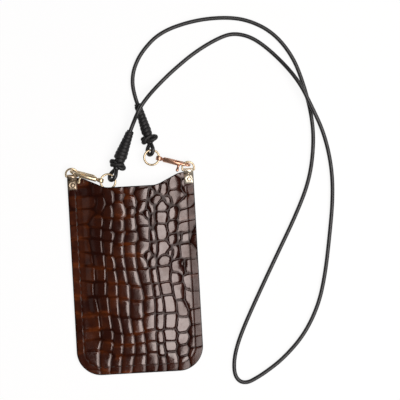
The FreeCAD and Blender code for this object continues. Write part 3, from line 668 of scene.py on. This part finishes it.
def outline_high(x):
    """The pouch's mouth: a flat floor, an arc, a straight slope, an arc, and a flat shoulder."""
    across = np.abs(x)
    mouth = HALF_WIDTH - SCOOP_SHOULDER
    foot = mouth - SCOOP_RUN
    slope = math.atan2(SCOOP_DEPTH, SCOOP_RUN)
    setback = SCOOP_BLEND * math.tan(slope / 2)
    sweep = SCOOP_BLEND * math.sin(slope)
    low_x, high_x = foot - setback, mouth + setback
    floor = TOP - SCOOP_DEPTH
    low_arc = floor + SCOOP_BLEND - np.sqrt(np.maximum(SCOOP_BLEND ** 2 - (across - low_x) ** 2, 0))
    high_arc = TOP - SCOOP_BLEND + np.sqrt(np.maximum(SCOOP_BLEND ** 2 - (across - high_x) ** 2, 0))
    line = floor + (across - foot) * math.tan(slope)
    return np.select(
        [across < low_x, across < low_x + sweep, across < high_x - sweep, across < high_x],
        [np.full_like(across, floor), low_arc, line, high_arc], TOP)


def bulge(x, y):
    """How far the front stands off: f = 1 - |x/a|^p - below^q, eased to nothing where f is below 0."""
    below = np.maximum(0, BULGE_LOW + BULGE_RISE - y) / BULGE_RISE
    full = 1 - (np.abs(x) / BULGE_SIDE) ** BULGE_SIDE_POWER - below ** BULGE_LOW_POWER
    return settings().leather.bulge / MM * (full + np.hypot(full, BULGE_EDGE)) / 2


def seam_distance(x, y):
    """Distance from the sides and the round bottom: that of a rounded box, open at the top."""
    out_x = np.abs(x) - (HALF_WIDTH - CORNER_RADIUS)
    out_y = BOTTOM + CORNER_RADIUS - y
    corner = np.hypot(np.maximum(out_x, 0), np.maximum(out_y, 0))
    return CORNER_RADIUS - corner - np.minimum(np.maximum(out_x, out_y), 0)


def edge_distance(x, y):
    """Distance from the nearest edge, the mouth's among them."""
    step = 0.05
    slope = (outline_high(x + step) - outline_high(x - step)) / (2 * step)
    return np.minimum(seam_distance(x, y), (outline_high(x) - y) / np.hypot(1, slope))


def clasp_distance(x, y):
    """How far a place lies outside the plate of the nearer clasp."""
    aside = np.maximum(np.abs(np.abs(x) - CLASP_X) - CLASP_HALF, 0)
    below = np.maximum(CLASP_LOW - CLASP_MARGIN - y, 0)
    return np.hypot(aside, below)


def unevenness(x, y):
    """How uneven the scales are: 0 in the even field, 1 at the upper right."""
    return smooth_step(x * UNEVEN_X + y * UNEVEN_Y, 0, UNEVEN_REACH)


def scale_plan(seed):
    """Centres and half sizes of the scales: a grid of columns and rows, more uneven towards the upper
    right, where small scales fill in."""
    draw = np.random.default_rng(seed)
    columns, rows = np.array(COLUMN_LINES, float), np.array(ROW_LINES, float)
    x, y = np.meshgrid((columns[1:] + columns[:-1]) / 2, (rows[1:] + rows[:-1]) / 2)
    a, b = np.meshgrid(np.diff(columns) / 2, np.diff(rows) / 2)
    uneven = EVEN_SHARE + UNEVEN_SHARE * unevenness(x, y)
    y = y + draw.normal(0, COLUMN_SHIFT, x.shape[1]) * (COLUMN_SHARE + uneven)
    x = x + draw.normal(0, PLACE_SPREAD_X, x.shape) * a * uneven
    y = y + draw.normal(0, PLACE_SPREAD_Y, y.shape) * b * uneven
    a = a * (1 + draw.uniform(*SIZE_SPREAD, a.shape) * uneven)
    b = b * (1 + draw.uniform(*SIZE_SPREAD, b.shape) * uneven)
    corner_x, corner_y = np.meshgrid(columns[SMALL_COLUMNS], rows[SMALL_ROWS])
    small = draw.permutation(corner_x.size)[:SMALL_COUNT]
    size = draw.uniform(*SMALL_HALF, small.size)
    tall = size * draw.uniform(*SMALL_TALL, small.size)
    grids = (x, y, a, b)
    extras = (corner_x.ravel()[small], corner_y.ravel()[small], size, tall)
    return tuple(np.concatenate([grid.ravel(), extra]) for grid, extra in zip(grids, extras))


def wavy(along, across, waves):
    """A place moved by a long and a short wave: u + A sin(v/L + s) + B sin(v/M + u/N)."""
    (height, length, start), (rise, run, slant) = waves
    return along + height * np.sin(across / length + start) + rise * np.sin(across / run + along / slant)


def scale_field(x, y, seed):
    """For each point, the distances to the grooves towards the next two scales, the place across and up
    its own scale, and that scale's number. Distances from a centre are third-power ones over the scale's
    half sizes, so the nearest centre gives rounded rectangles."""
    centre_x, centre_y, half_x, half_y = scale_plan(seed)
    bent_x = wavy(x, y, COLUMN_WAVES)
    bent_y = wavy(y, x, ROW_WAVES)
    batch = 8000
    results = []
    for part in np.array_split(np.arange(x.size), max(1, x.size // batch)):
        dx = (bent_x[part, None] - centre_x) / half_x
        dy = (bent_y[part, None] - centre_y) / half_y
        far = (np.abs(dx) ** 3 + np.abs(dy) ** 3) ** (1 / 3)
        order = np.argpartition(far, (0, 1, 2), axis=1)[:, :3]
        near = np.take_along_axis(far, order, 1)
        own = order[:, :1]
        reach = np.minimum(half_x, half_y)[own[:, 0]] / 2
        results.append(np.stack([
            (near[:, 1] - near[:, 0]) * reach, (near[:, 2] - near[:, 0]) * reach,
            np.take_along_axis(dx, own, 1)[:, 0], np.take_along_axis(dy, own, 1)[:, 0], own[:, 0]]))
    return np.concatenate(results, axis=1)


def panel_grid():
    """Columns and rows of a panel: x runs evenly across and by equal angles round the corners, and y
    runs from the lower edge to the mouth."""
    inner = HALF_WIDTH - CORNER_RADIUS
    turn = CORNER_RADIUS * np.sin(np.linspace(0, np.pi / 2, GRID_CORNER + 1)[1:])
    x = np.concatenate([-inner - turn[::-1], np.linspace(-inner, inner, GRID_MIDDLE + 1), inner + turn])
    share = np.linspace(0, 1, GRID_ROWS + 1)[:, None]
    low, high = outline_low(x), outline_high(x)
    return np.broadcast_to(x, (GRID_ROWS + 1, x.size)), low + (high - low) * share


def closed_panel(outer, inner):
    """Joins a fine outer face and a coarser inner face, of every few rows and columns, by a wall."""
    thin = GRID_THIN
    rows, columns = outer.shape[:2]
    index = np.arange(rows * columns).reshape(rows, columns)
    inner = inner[::thin, ::thin]
    coarse = rows * columns + np.arange(inner.shape[0] * inner.shape[1]).reshape(inner.shape[:2])

    def cells(grid):
        return np.stack([grid[:-1, :-1], grid[:-1, 1:], grid[1:, 1:], grid[1:, :-1]], -1).reshape(-1, 4)

    def rim(grid):
        return np.concatenate([grid[0, :-1], grid[:-1, -1], grid[-1, :0:-1], grid[:0:-1, 0]])

    fine, low = rim(index), rim(coarse)
    upper = np.concatenate([fine, fine[:1]])
    spans = np.stack([upper[thin - back:len(upper) - back:thin] for back in range(thin + 1)], 1)
    wall = np.column_stack([low, np.roll(low, -1), spans])
    faces = cells(index).tolist() + cells(coarse)[:, ::-1].tolist() + wall.tolist()
    return np.concatenate([outer.reshape(-1, 3), inner.reshape(-1, 3)]), faces


def softened(values, shape):
    """Values on a grid averaged 1:2:1 with their neighbours along both axes, so that grooves run even."""
    grid = values.reshape(shape)
    for _ in range(2):
        wide = np.pad(grid, ((1, 1), (0, 0)), mode="edge")
        grid = ((wide[:-2] + 2 * wide[1:-1] + wide[2:]) / 4).T
    return grid.ravel()


def plate_pressure(x, y, seam):
    """How deep the plate pressed: less on the rim, least on its left, and less towards the upper left."""
    rim = RIM_PRESS + RIM_PRESS_RIGHT * smooth_step(x, 0, RIM_RIGHT_AT)
    pressed = rim + (1 - rim) * smooth_step(seam, *RIM_BAND)
    return pressed * (1 - FAINT_SHARE * smooth_step(FAINT_SLOPE * y - x, *FAINT_BAND))


def seam_channel(y, seam):
    """The channel that the stitches lie in: exp(-(d/w)^2) across, ending below the clasps."""
    inset = settings().leather.seam_inset / MM
    return np.exp(-((seam - inset) / CHANNEL_HALF) ** 2) * smooth_step(CLASP_LOW - y, *CHANNEL_END)


def dye_wave(x, y):
    """Waves of dye: sin(x/a + b sin(y/c)) sin(y/d + e sin(x/f))."""
    (a, b, c), (d, e, f) = DYE_WAVE_X, DYE_WAVE_Y
    return np.sin(x / a + b * np.sin(y / c)) * np.sin(y / d + e * np.sin(x / f))


def panel_fields(x, y, seed):
    """The relief of a panel's outer face, below the plain leather, and the fields that its material reads.
    A scale is a pillow: it falls by 1 - exp(-(e/g)^2) at a groove, steeply and then gently, and leans."""
    leather = settings().leather
    flat_x, flat_y = x.ravel(), y.ravel()
    gap, corner, across, up, own = scale_field(flat_x, flat_y, seed)
    draw = np.random.default_rng(seed + 1)
    tone, lean_x, lean_y = draw.uniform(0, 1, (3, int(own.max()) + 1))[:, own.astype(int)]
    seam = seam_distance(flat_x, flat_y)
    edge = edge_distance(flat_x, flat_y)
    width = leather.groove / MM
    uneven = unevenness(flat_x, flat_y)
    hollow_width = (HOLLOW_WIDTH + HOLLOW_WIDER * uneven) * width
    hollow = (HOLLOW_DEPTH + HOLLOW_DEEPER * uneven) * np.exp(-(corner / hollow_width) ** 2)
    plateau = softened((1 - np.exp(-(gap / width) ** 2)) * (1 - hollow), x.shape)
    pillow = 1 - np.exp(-(gap / (PILLOW_WIDTH * width)) ** 2)
    leaning = plateau * ((lean_x - 0.5) * across + (lean_y - 0.5) * up)
    channel = seam_channel(flat_y, seam)
    near_edge = np.maximum(EDGE_ROUND - edge, 0)
    round_over = EDGE_ROUND - np.sqrt(np.maximum(EDGE_ROUND ** 2 - near_edge ** 2, 0))
    relief = leather.relief / MM * (plateau - 1) + leather.crown / MM * (pillow + LEAN_SHARE * leaning)
    relief = plate_pressure(flat_x, flat_y, seam) * relief - CHANNEL_DEPTH * channel - round_over
    warm = WARM_LEAST + (1 - WARM_LEAST) * smooth_step(-flat_x, *WARM_BAND)
    ends = smooth_step(np.abs(up), *SCALE_END) * smooth_step(dye_wave(flat_x, flat_y), *DYE_BAND)
    flank = smooth_step(1 - plateau, FLANK_FROM - FLANK_FROM_WARM * warm, FLANK_TO - FLANK_TO_WARM * warm)
    rim = RIM_DULL * (1 - smooth_step(seam, *RIM_BAND))
    fields = {
        # Painted shade in the grooves, stronger on the right than on the left
        "shade": (1 - plateau) * (GROOVE_SHADE - GROOVE_SHADE_WARM * warm),
        "tone": tone * plateau,
        "rust": warm * np.clip(SCALE_RUST * tone * plateau + ends, 0, 1),
        "inside": np.zeros_like(edge),
        "dull": np.maximum.reduce([flank, smooth_step(channel, *CHANNEL_DULL), rim, edge < EDGE_DULL]),
        # Edge paint: partly real, partly painted shade on the rounded rim of the face
        "paint": 1 - smooth_step(edge, *EDGE_PAINT),
    }
    return relief.reshape(x.shape), fields


def add_panel(name, node, outer_z, inner_z, fields, flip=False):
    """A leather panel as a closed piece that stands for its node."""
    x, y = panel_grid()
    points, faces = closed_panel(np.stack([x, y, outer_z], -1), np.stack([x, y, inner_z], -1))
    if flip:
        faces = [face[::-1] for face in faces]
    edge = edge_distance(*(grid[::GRID_THIN, ::GRID_THIN].ravel() for grid in (x, y)))
    back = {key: np.full(edge.shape, value) for key, value in INSIDE_FIELDS.items()}
    back["paint"] = (edge < INSIDE_EDGE).astype(float)
    fields = {key: np.concatenate([fields[key], back[key]]) for key in fields}
    piece = add_piece(name, (points, faces), leather_material(name + "_leather"), "pouch", fields)
    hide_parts(node)
    return piece


def front_level(x, y):
    """The front's plain outer face: the two leathers, the bulge, and a rim that falls a little."""
    stack = 2 * settings().leather.thickness / MM + LAYER_GAP
    return stack + bulge(x, y) - RIM_FALL * np.maximum(0, RIM_WIDTH - seam_distance(x, y))


def seam_stations(count):
    """Places and directions along the seam, by distance: down one side, round the bottom, up the other."""
    inset = settings().leather.seam_inset / MM
    radius = CORNER_RADIUS - inset
    side = HALF_WIDTH - inset
    straight = (SEAM_TOP - (BOTTOM + CORNER_RADIUS), 0)
    moves = [straight, (radius, 90), (2 * (side - radius), 0), (radius, 90), straight]
    path = bent_path((-side, SEAM_TOP, 0), (0, -1, 0), (0, 0, 1), moves, SEAM_BEND_STEP)
    length = np.concatenate([[0], np.cumsum(np.linalg.norm(np.diff(path, axis=0), axis=1))])
    along = (np.arange(count) + 0.5) * length[-1] / count
    place = np.stack([np.interp(along, length, path[:, axis]) for axis in (0, 1)], 1)
    ahead = np.stack([np.interp(along + SEAM_AHEAD, length, path[:, axis]) for axis in (0, 1)], 1)
    return place, unit(ahead - place)


def stitch_row(level, lift):
    """Each stitch is a plump strand, r = r0 (1 - t^4)^(1/4), that dips into the leather at its ends."""
    leather = settings().leather
    half = leather.stitch / MM / 2
    radius = leather.thread / MM / 2
    sides, steps = STITCH_SIDES, STITCH_STEPS
    place, ahead = seam_stations(STITCH_COUNT)
    across = np.stack([-ahead[:, 1], ahead[:, 0]], 1)
    t = np.linspace(-1, 1, steps)
    thick = radius * np.maximum(1 - t ** 4, STITCH_BLUNT) ** 0.25
    angle = np.linspace(0, 2 * np.pi, sides, endpoint=False)
    slant = STITCH_SLANT * np.sin(np.pi * t / 2)
    along = (half * t)[None, :, None, None] * ahead[:, None, None]
    aside = (slant[:, None] + thick[:, None] * np.cos(angle))[None, :, :, None] * across[:, None, None]
    rise = thick[:, None] * np.sin(angle) - (STITCH_DIP * t ** 4)[:, None]
    height = level(place[:, 0], place[:, 1])[:, None, None] + lift * rise[None]
    flat = place[:, None, None] + along + aside
    points = np.concatenate([flat, height[..., None]], -1).reshape(-1, 3)
    row, column = np.meshgrid(np.arange(steps - 1), np.arange(sides), indexing="ij")
    here, after, beside = row * sides, (row + 1) * sides, (column + 1) % sides
    one = np.stack([here + column, here + beside, after + beside, after + column], -1).reshape(-1, 4)
    starts = (np.arange(len(place)) * steps * sides)[:, None, None]
    faces = (one[None] + starts).reshape(-1, 4).tolist()
    caps = np.stack([np.arange(sides)[::-1], np.arange(sides) + (steps - 1) * sides])
    faces += (caps[None] + starts).reshape(-1, sides).tolist()
    if lift > 0:
        return points, faces
    return points, [face[::-1] for face in faces]


def cord_radius():
    """Half the cord's thickness."""
    return settings().cord.diameter / MM / 2


def core_radius(along, length, full):
    """The core under a whipping: a neck, a quick swell, and a long taper to the cord."""
    places = (0, CORE_NECK, CORE_SWELL, length)
    return np.interp(along, places, (CORE_ROOT, CORE_ROOT, full, cord_radius()))


def end_axes(knot, top):
    """A whipped end's length, its direction, and the level and upward directions across it."""
    axis = unit(np.subtract(top, knot))
    level = unit(np.cross((0, 0, 1), axis))
    return np.linalg.norm(np.subtract(top, knot)), axis, level, np.cross(axis, level)


def end_loop(centre, knot):
    """The cord's loop round the link ring: a straight leg, an arc of over half a turn, a straight leg."""
    centre, knot = np.array(centre), np.array(knot)
    down = unit(centre - knot)
    level = unit(np.cross((0, 0, 1), down))
    roll = math.radians(LOOP_ROLL)
    across = np.cross(down, level) * math.cos(roll) + level * math.sin(roll)
    apex = knot - down * LOOP_APEX
    depth = np.linalg.norm(centre - apex)
    slant = math.asin(LOOP_BEND / depth)
    leg = math.sqrt(depth ** 2 - LOOP_BEND ** 2)
    way = down * math.cos(slant) + across * math.sin(slant)
    normal = np.cross(across, down)
    moves = [(leg, 0), (LOOP_BEND, 180 + 2 * math.degrees(slant)), (leg, 0)]
    return tube(bent_path(apex, way, normal, moves), normal, cord_radius(), sides=18)


def end_core(knot, top, full):
    """The swelling core: a round section along the end's axis."""
    length, axis, _, lift = end_axes(knot, top)
    along = np.linspace(0, length, CORE_STEPS)
    path = np.array(knot) + along[:, None] * axis
    return tube(path, lift, core_radius(along, length, full), sides=24)


def lace_winding(knot, top, full, seed):
    """Flat lace wound on the core: a helix, c(t) = root + a(t) axis + R(a) (cos t level + sin t lift),
    whose turns differ a little in height and in pitch."""
    cord = settings().cord
    length, axis, level, lift = end_axes(knot, top)
    draw = np.random.default_rng(seed)
    turns = cord.turns
    t = np.linspace(0, turns, turns * LACE_TURN_STEPS + 1)
    marks = np.arange(turns + 2)
    uneven = np.interp(t, marks, draw.uniform(*LACE_HEIGHTS, turns + 2))
    shift = LACE_SHIFT * np.interp(t, marks, draw.uniform(-1, 1, turns + 2))
    along = LACE_START + (length - LACE_END_GAP - LACE_START) * t / turns + shift
    angle = 2 * np.pi * t
    outward = np.cos(angle)[:, None] * level + np.sin(angle)[:, None] * lift
    width, height = cord.lace_width / MM / 2, cord.lace_height / MM / 2
    reach = core_radius(along, length, full) + height * LACE_LIFT + uneven
    path = np.array(knot) + along[:, None] * axis + reach[:, None] * outward
    taper = np.minimum(1, np.minimum(t, turns - t) / LACE_TIP_TURNS + LACE_TIP_WIDTH)
    return tube(path, axis, width * taper, sides=12, flat=height / width)


def collar_knot(knot, top, seed):
    """A lumpy knot of the cord itself: the curve with radius R + r cos(1.5 t) and place s sin(1.5 t)
    along the axis, twice round, pressed flat towards the table."""
    _, axis, level, lift = end_axes(knot, top)
    t = np.linspace(0, 4 * np.pi, KNOT_STEPS, endpoint=False)
    weave = KNOT_LOBES * t + (KNOT_PHASE + KNOT_PHASE_STEP * seed)
    reach = KNOT_RADIUS + KNOT_WEAVE * np.cos(weave)
    along = KNOT_PLACE + KNOT_REACH * np.sin(weave)
    outward = np.cos(t)[:, None] * level + KNOT_PRESS * np.sin(t)[:, None] * lift
    path = np.array(knot) + along[:, None] * axis + reach[:, None] * outward
    return tube(path, axis, cord_radius() * (1 + KNOT_SWELL * np.sin(3 * t)), sides=16, closed=True)


def d_ring_wire(side, tilt):
    """The D: a bar, two tight bends, two short legs and a half circle, tipped up about the bar."""
    radius = settings().metal.d_ring_wire / MM / 2
    half = D_RING_CLEAR + radius
    bar, bend, leg = (half - D_RING_BEND, 0), (D_RING_BEND, 90), (D_RING_LEG, 0)
    moves = [bar, bend, leg, (half, 180), leg, bend, bar]
    flat = bent_path((0, 0, 0), (1, 0, 0), (0, 0, 1), moves)[:-1]
    tip = math.radians(tilt)
    turned = np.stack([flat[:, 0], flat[:, 1] * math.cos(tip), flat[:, 1] * math.sin(tip)], 1)
    normal = (0, -math.sin(tip), math.cos(tip))
    return tube(turned + (side * CLASP_X, BAR_Y, BAR_Z), normal, radius, sides=16, closed=True)


def link_ring_wire(centre):
    """A level ring: a round section carried round a circle."""
    metal = settings().metal
    angle = np.linspace(0, 2 * np.pi, LINK_STEPS, endpoint=False)
    circle = np.stack([np.cos(angle), np.sin(angle), np.zeros_like(angle)], 1) * metal.link_radius / MM
    return tube(circle + centre, (0, 0, 1), metal.link_wire / MM / 2, sides=16, closed=True)


def smooth_copy(name, node, material, body):
    """A merged copy of a solid with smooth shading over its gentle edges."""
    work = bmesh.new()
    work.from_mesh(frame["nodes"][node].data)
    bmesh.ops.remove_doubles(work, verts=work.verts, dist=MERGE_METRES)
    mesh = bpy.data.meshes.new(name)
    work.to_mesh(mesh)
    work.free()
    mesh.materials.clear()
    mesh.materials.append(material)
    mesh.polygons.foreach_set("material_index", np.zeros(len(mesh.polygons), np.int32))
    mesh.polygons.foreach_set("use_smooth", np.ones(len(mesh.polygons), bool))
    mesh.set_sharp_from_angle(angle=math.radians(SHARP_DEGREES))
    piece = set_down(name, mesh, body)
    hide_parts(node)
    return piece


def shorten(coil, name):
    """Works out, from its bolt's travel along the joint's axis, the share of the spring that would stay,
    though nothing uses it; the coil only gets a mesh of its own.
    """
    joint = next(joint for joint in frame["joints"] if joint["name"] == name)
    points = np.empty(3 * len(coil.data.vertices))
    coil.data.vertices.foreach_get("co", points)
    points = points.reshape(-1, 3)
    along = points @ joint["axis"]
    keep = 1 - joint["range_m"][1] / np.ptp(along)
    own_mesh(coil)


class POUCH_OT_stage(bpy.types.Operator):
    """White table, softbox, fill and the camera above the pouch"""
    bl_idname = "pouch.stage"
    bl_label = "Stage"

    def execute(self, context):
        stage = settings().stage
        corners = np.array([(-1, -1, 0), (1, -1, 0), (1, 1, 0), (-1, 1, 0)]) * TABLE_HALF
        table = add_piece("table", (corners + (0, 0, TABLE_LEVEL), [[0, 1, 2, 3]]), floor_material())
        context.scene.world = bpy.data.worlds.new("studio")
        paint = Paint(context.scene.world, "ShaderNodeOutputWorld")
        seen = paint.node("ShaderNodeLightPath", out="Is Camera Ray")
        levels = {"Value": seen, "To Min": stage.world, "To Max": 1.0}
        strength = paint.node("ShaderNodeMapRange", None, levels)
        paint.show(paint.node("ShaderNodeBackground", None, {"Color": (1, 1, 1), "Strength": strength}))
        self.add_lamp(
            "softbox", stage.softbox_power, stage.softbox_lean, size=(1.96, 3.4), shift=-0.5, distance=2.4)
        self.add_lamp(
            "fill", stage.fill_power, stage.fill_lean, size=(0.6, 0.9), shift=0.0, distance=1.3)
        camera = bpy.data.cameras.new("overhead")
        camera.lens = camera.sensor_width * (stage.distance - FRAME_LEVEL) / stage.frame_width
        camera.clip_end = CAMERA_REACH
        view = set_down("overhead", camera)
        view.location = (*stage.centre, stage.distance)
        view.rotation_euler = (0, 0, stage.roll)
        context.scene.camera = view
        context.scene.view_settings.view_transform = "Standard"
        return {"FINISHED"}

    def add_lamp(self, name, power, angle, size, shift, distance):
        """A rectangular lamp, in metres, that leans towards +X, is moved along Y and faces the pouch."""
        light = bpy.data.lights.new(name, "AREA")
        light.shape = "RECTANGLE"
        light.size, light.size_y = size
        light.energy = power
        light.color = settings().stage.light
        lamp = set_down(name, light)
        lamp.location = (distance * math.sin(angle), shift, distance * math.cos(angle))
        lamp.rotation_euler = (0, angle, 0)


class POUCH_OT_cord(bpy.types.Operator):
    """The free cord on its route, with its looped, knotted and whipped ends"""
    bl_idname = "pouch.cord"
    bl_label = "Cord and whippings"

    def execute(self, context):
        cord = settings().cord
        black = cord_material("cord_leather", CORD_GRAIN, gloss=0.34, lustre=0.5)
        lace = cord_material("lace_leather", LACE_GRAIN, gloss=0.42, lustre=0.25)
        curve = bpy.data.curves.new("shoulder_cord", "CURVE")
        curve.dimensions = "3D"
        curve.bevel_depth = cord.diameter / 2
        curve.bevel_resolution = 5
        curve.resolution_u = 10
        curve.use_fill_caps = True
        spline = curve.splines.new("NURBS")
        spline.points.add(len(CORD_ROUTE) - 1)
        route = np.column_stack([np.array(CORD_ROUTE) * MM, np.ones(len(CORD_ROUTE))])
        spline.points.foreach_set("co", route.ravel())
        spline.order_u = 3
        spline.use_endpoint_u = True
        curve.materials.append(black)
        line = set_down("shoulder_cord", curve)
        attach(line, "pouch")
        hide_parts("strap_cord")
        for seed, (side, (centre, knot, top, full)) in enumerate(CORD_ENDS.items()):
            end = joined([end_loop(centre, knot), end_core(knot, top, full)])
            made = {
                "cord_end_": ("end_loop_", end, black),
                "whipping_": ("lace_winding_", lace_winding(knot, top, full, seed + LACE_SEED), lace),
                "whipping_knot_": ("collar_knot_", collar_knot(knot, top, seed), lace),
            }
            for node, (name, surface, material) in made.items():
                piece = add_piece(name + side, surface, material, "pouch")
                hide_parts(node + side)
        return {"FINISHED"}


class POUCH_OT_panels(bpy.types.Operator):
    """The embossed leather front and back"""
    bl_idname = "pouch.panels"
    bl_label = "Leather panels"

    def execute(self, context):
        leather = settings().leather
        thick = leather.thickness / MM
        x, y = panel_grid()
        clear = clasp_distance(x, y)
        relief, fields = panel_fields(x, y, leather.seed)
        under_clasp = 2 * thick + CLASP_FRONT_GAP + CLASP_FRONT_LIFT * clear ** 2
        outer = np.minimum(front_level(x, y) + relief, under_clasp)
        inner = thick + LAYER_GAP + bulge(x, y)
        front = add_panel("leather_front", "front_panel", outer, inner, fields)
        relief, fields = panel_fields(x, y, leather.seed + BACK_SEED)
        outer = np.where(clear == 0, CLASP_BACK, np.maximum(leather.crown / MM - relief, 0.0))
        inner = np.full_like(x, thick)
        back = add_panel("leather_back", "back_panel", outer, inner, fields, flip=True)
        flat = (2 * HALF_WIDTH * MM, (TOP - BOTTOM) * MM)
        samples = 2001
        across = np.linspace(-HALF_WIDTH, HALF_WIDTH, samples)
        area = float(np.mean(outline_high(across) - outline_low(across))) * flat[0] * MM
        return {"FINISHED"}


class POUCH_OT_seam(bpy.types.Operator):
    """The two rows of stitches"""
    bl_idname = "pouch.seam"
    bl_label = "Seam"

    def execute(self, context):
        thread = thread_material()
        rows = {
            "front": stitch_row(lambda x, y: front_level(x, y) - STITCH_SINK, lift=1),
            "back": stitch_row(lambda x, y: np.full_like(x, STITCH_BACK), lift=-1),
        }
        for side, surface in rows.items():
            piece = add_piece("stitches_" + side, surface, thread, "pouch")
            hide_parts("seam_thread_" + side)
        return {"FINISHED"}


class POUCH_OT_fittings(bpy.types.Operator):
    """Rings, clasps and snap hooks"""
    bl_idname = "pouch.fittings"
    bl_label = "Gilt fittings"

    def execute(self, context):
        metal = settings().metal
        gold = metal_material("pale_gilt", metal.gold, gloss=0.27)
        # The two clasps get lit and shaded copies of one gilt: painted light on the right, painted shade on
        # the left
        clasps = {
            "left": metal_material("painted_shade_gilt", metal.shaded_clasp_gilt, gloss=0.33),
            "right": metal_material("painted_light_gilt", metal.lit_clasp_gilt, gloss=0.3),
        }
        # The right hook gets a rosy copy of the gilt: a painted reflection of the brown leather
        hooks = {"left": gold, "right": metal_material("reflection_tinted_gilt", metal.reflected_rose, gloss=0.26)}
        steel = metal_material("spring_steel", metal.steel, gloss=0.25)
        for name, (side, tilt, centre) in RINGS.items():
            dee = add_piece("d_ring_wire_" + name, d_ring_wire(side, tilt), gold, "dee_" + name)
            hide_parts("d_ring_" + name)
            ring = link_ring_wire(centre)
            link = add_piece("link_ring_wire_" + name, ring, gold, "ring_" + name)
            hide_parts("link_ring_" + name)
            for stem, body in GILT_NODES:
                node = stem + "_" + name
                if body == "pouch":
                    smooth_copy("gilt_" + node, node, clasps[name], body)
                else:
                    smooth_copy("gilt_" + node, node, hooks[name], body + name)
            spring = "bolt_spring_" + name
            coil = smooth_copy("coil_" + name, spring, steel, "hook_" + name)
            shorten(coil, "bolt_draw_" + name)
        return {"FINISHED"}


class POUCH_PT_build(bpy.types.Panel):
    """Buttons and values for the pouch"""
    bl_idname = "POUCH_PT_build"
    bl_label = "Phone pouch"
    bl_space_type = "VIEW_3D"
    bl_region_type = "UI"
    bl_category = "Pouch"

    def draw(self, context):
        for operator in OPERATORS:
            self.layout.operator(operator.bl_idname)
        for group in (settings().leather, settings().cord, settings().metal, settings().stage):
            box = self.layout.box()
            for key in group.__annotations__:
                box.prop(group, key)


OPERATORS = (POUCH_OT_stage, POUCH_OT_cord, POUCH_OT_panels, POUCH_OT_seam, POUCH_OT_fittings)
CLASSES = (PouchLeather, PouchCord, PouchMetal, PouchStage, PouchSettings, *OPERATORS, POUCH_PT_build)


def register():
    """Adds the classes and the scene's settings."""
    for cls in CLASSES:
        bpy.utils.register_class(cls)
    bpy.types.Scene.pouch = PointerProperty(
        name="Pouch", description="Values of the phone pouch", type=PouchSettings)


def unregister():
    """Takes them away again."""
    del bpy.types.Scene.pouch
    for cls in reversed(CLASSES):
        bpy.utils.unregister_class(cls)


def main():
    """Builds every piece."""
    register()
    bpy.ops.pouch.stage()
    bpy.ops.pouch.cord()
    bpy.ops.pouch.panels()
    bpy.ops.pouch.seam()
    bpy.ops.pouch.fittings()


if __name__ == "__main__":
    main()
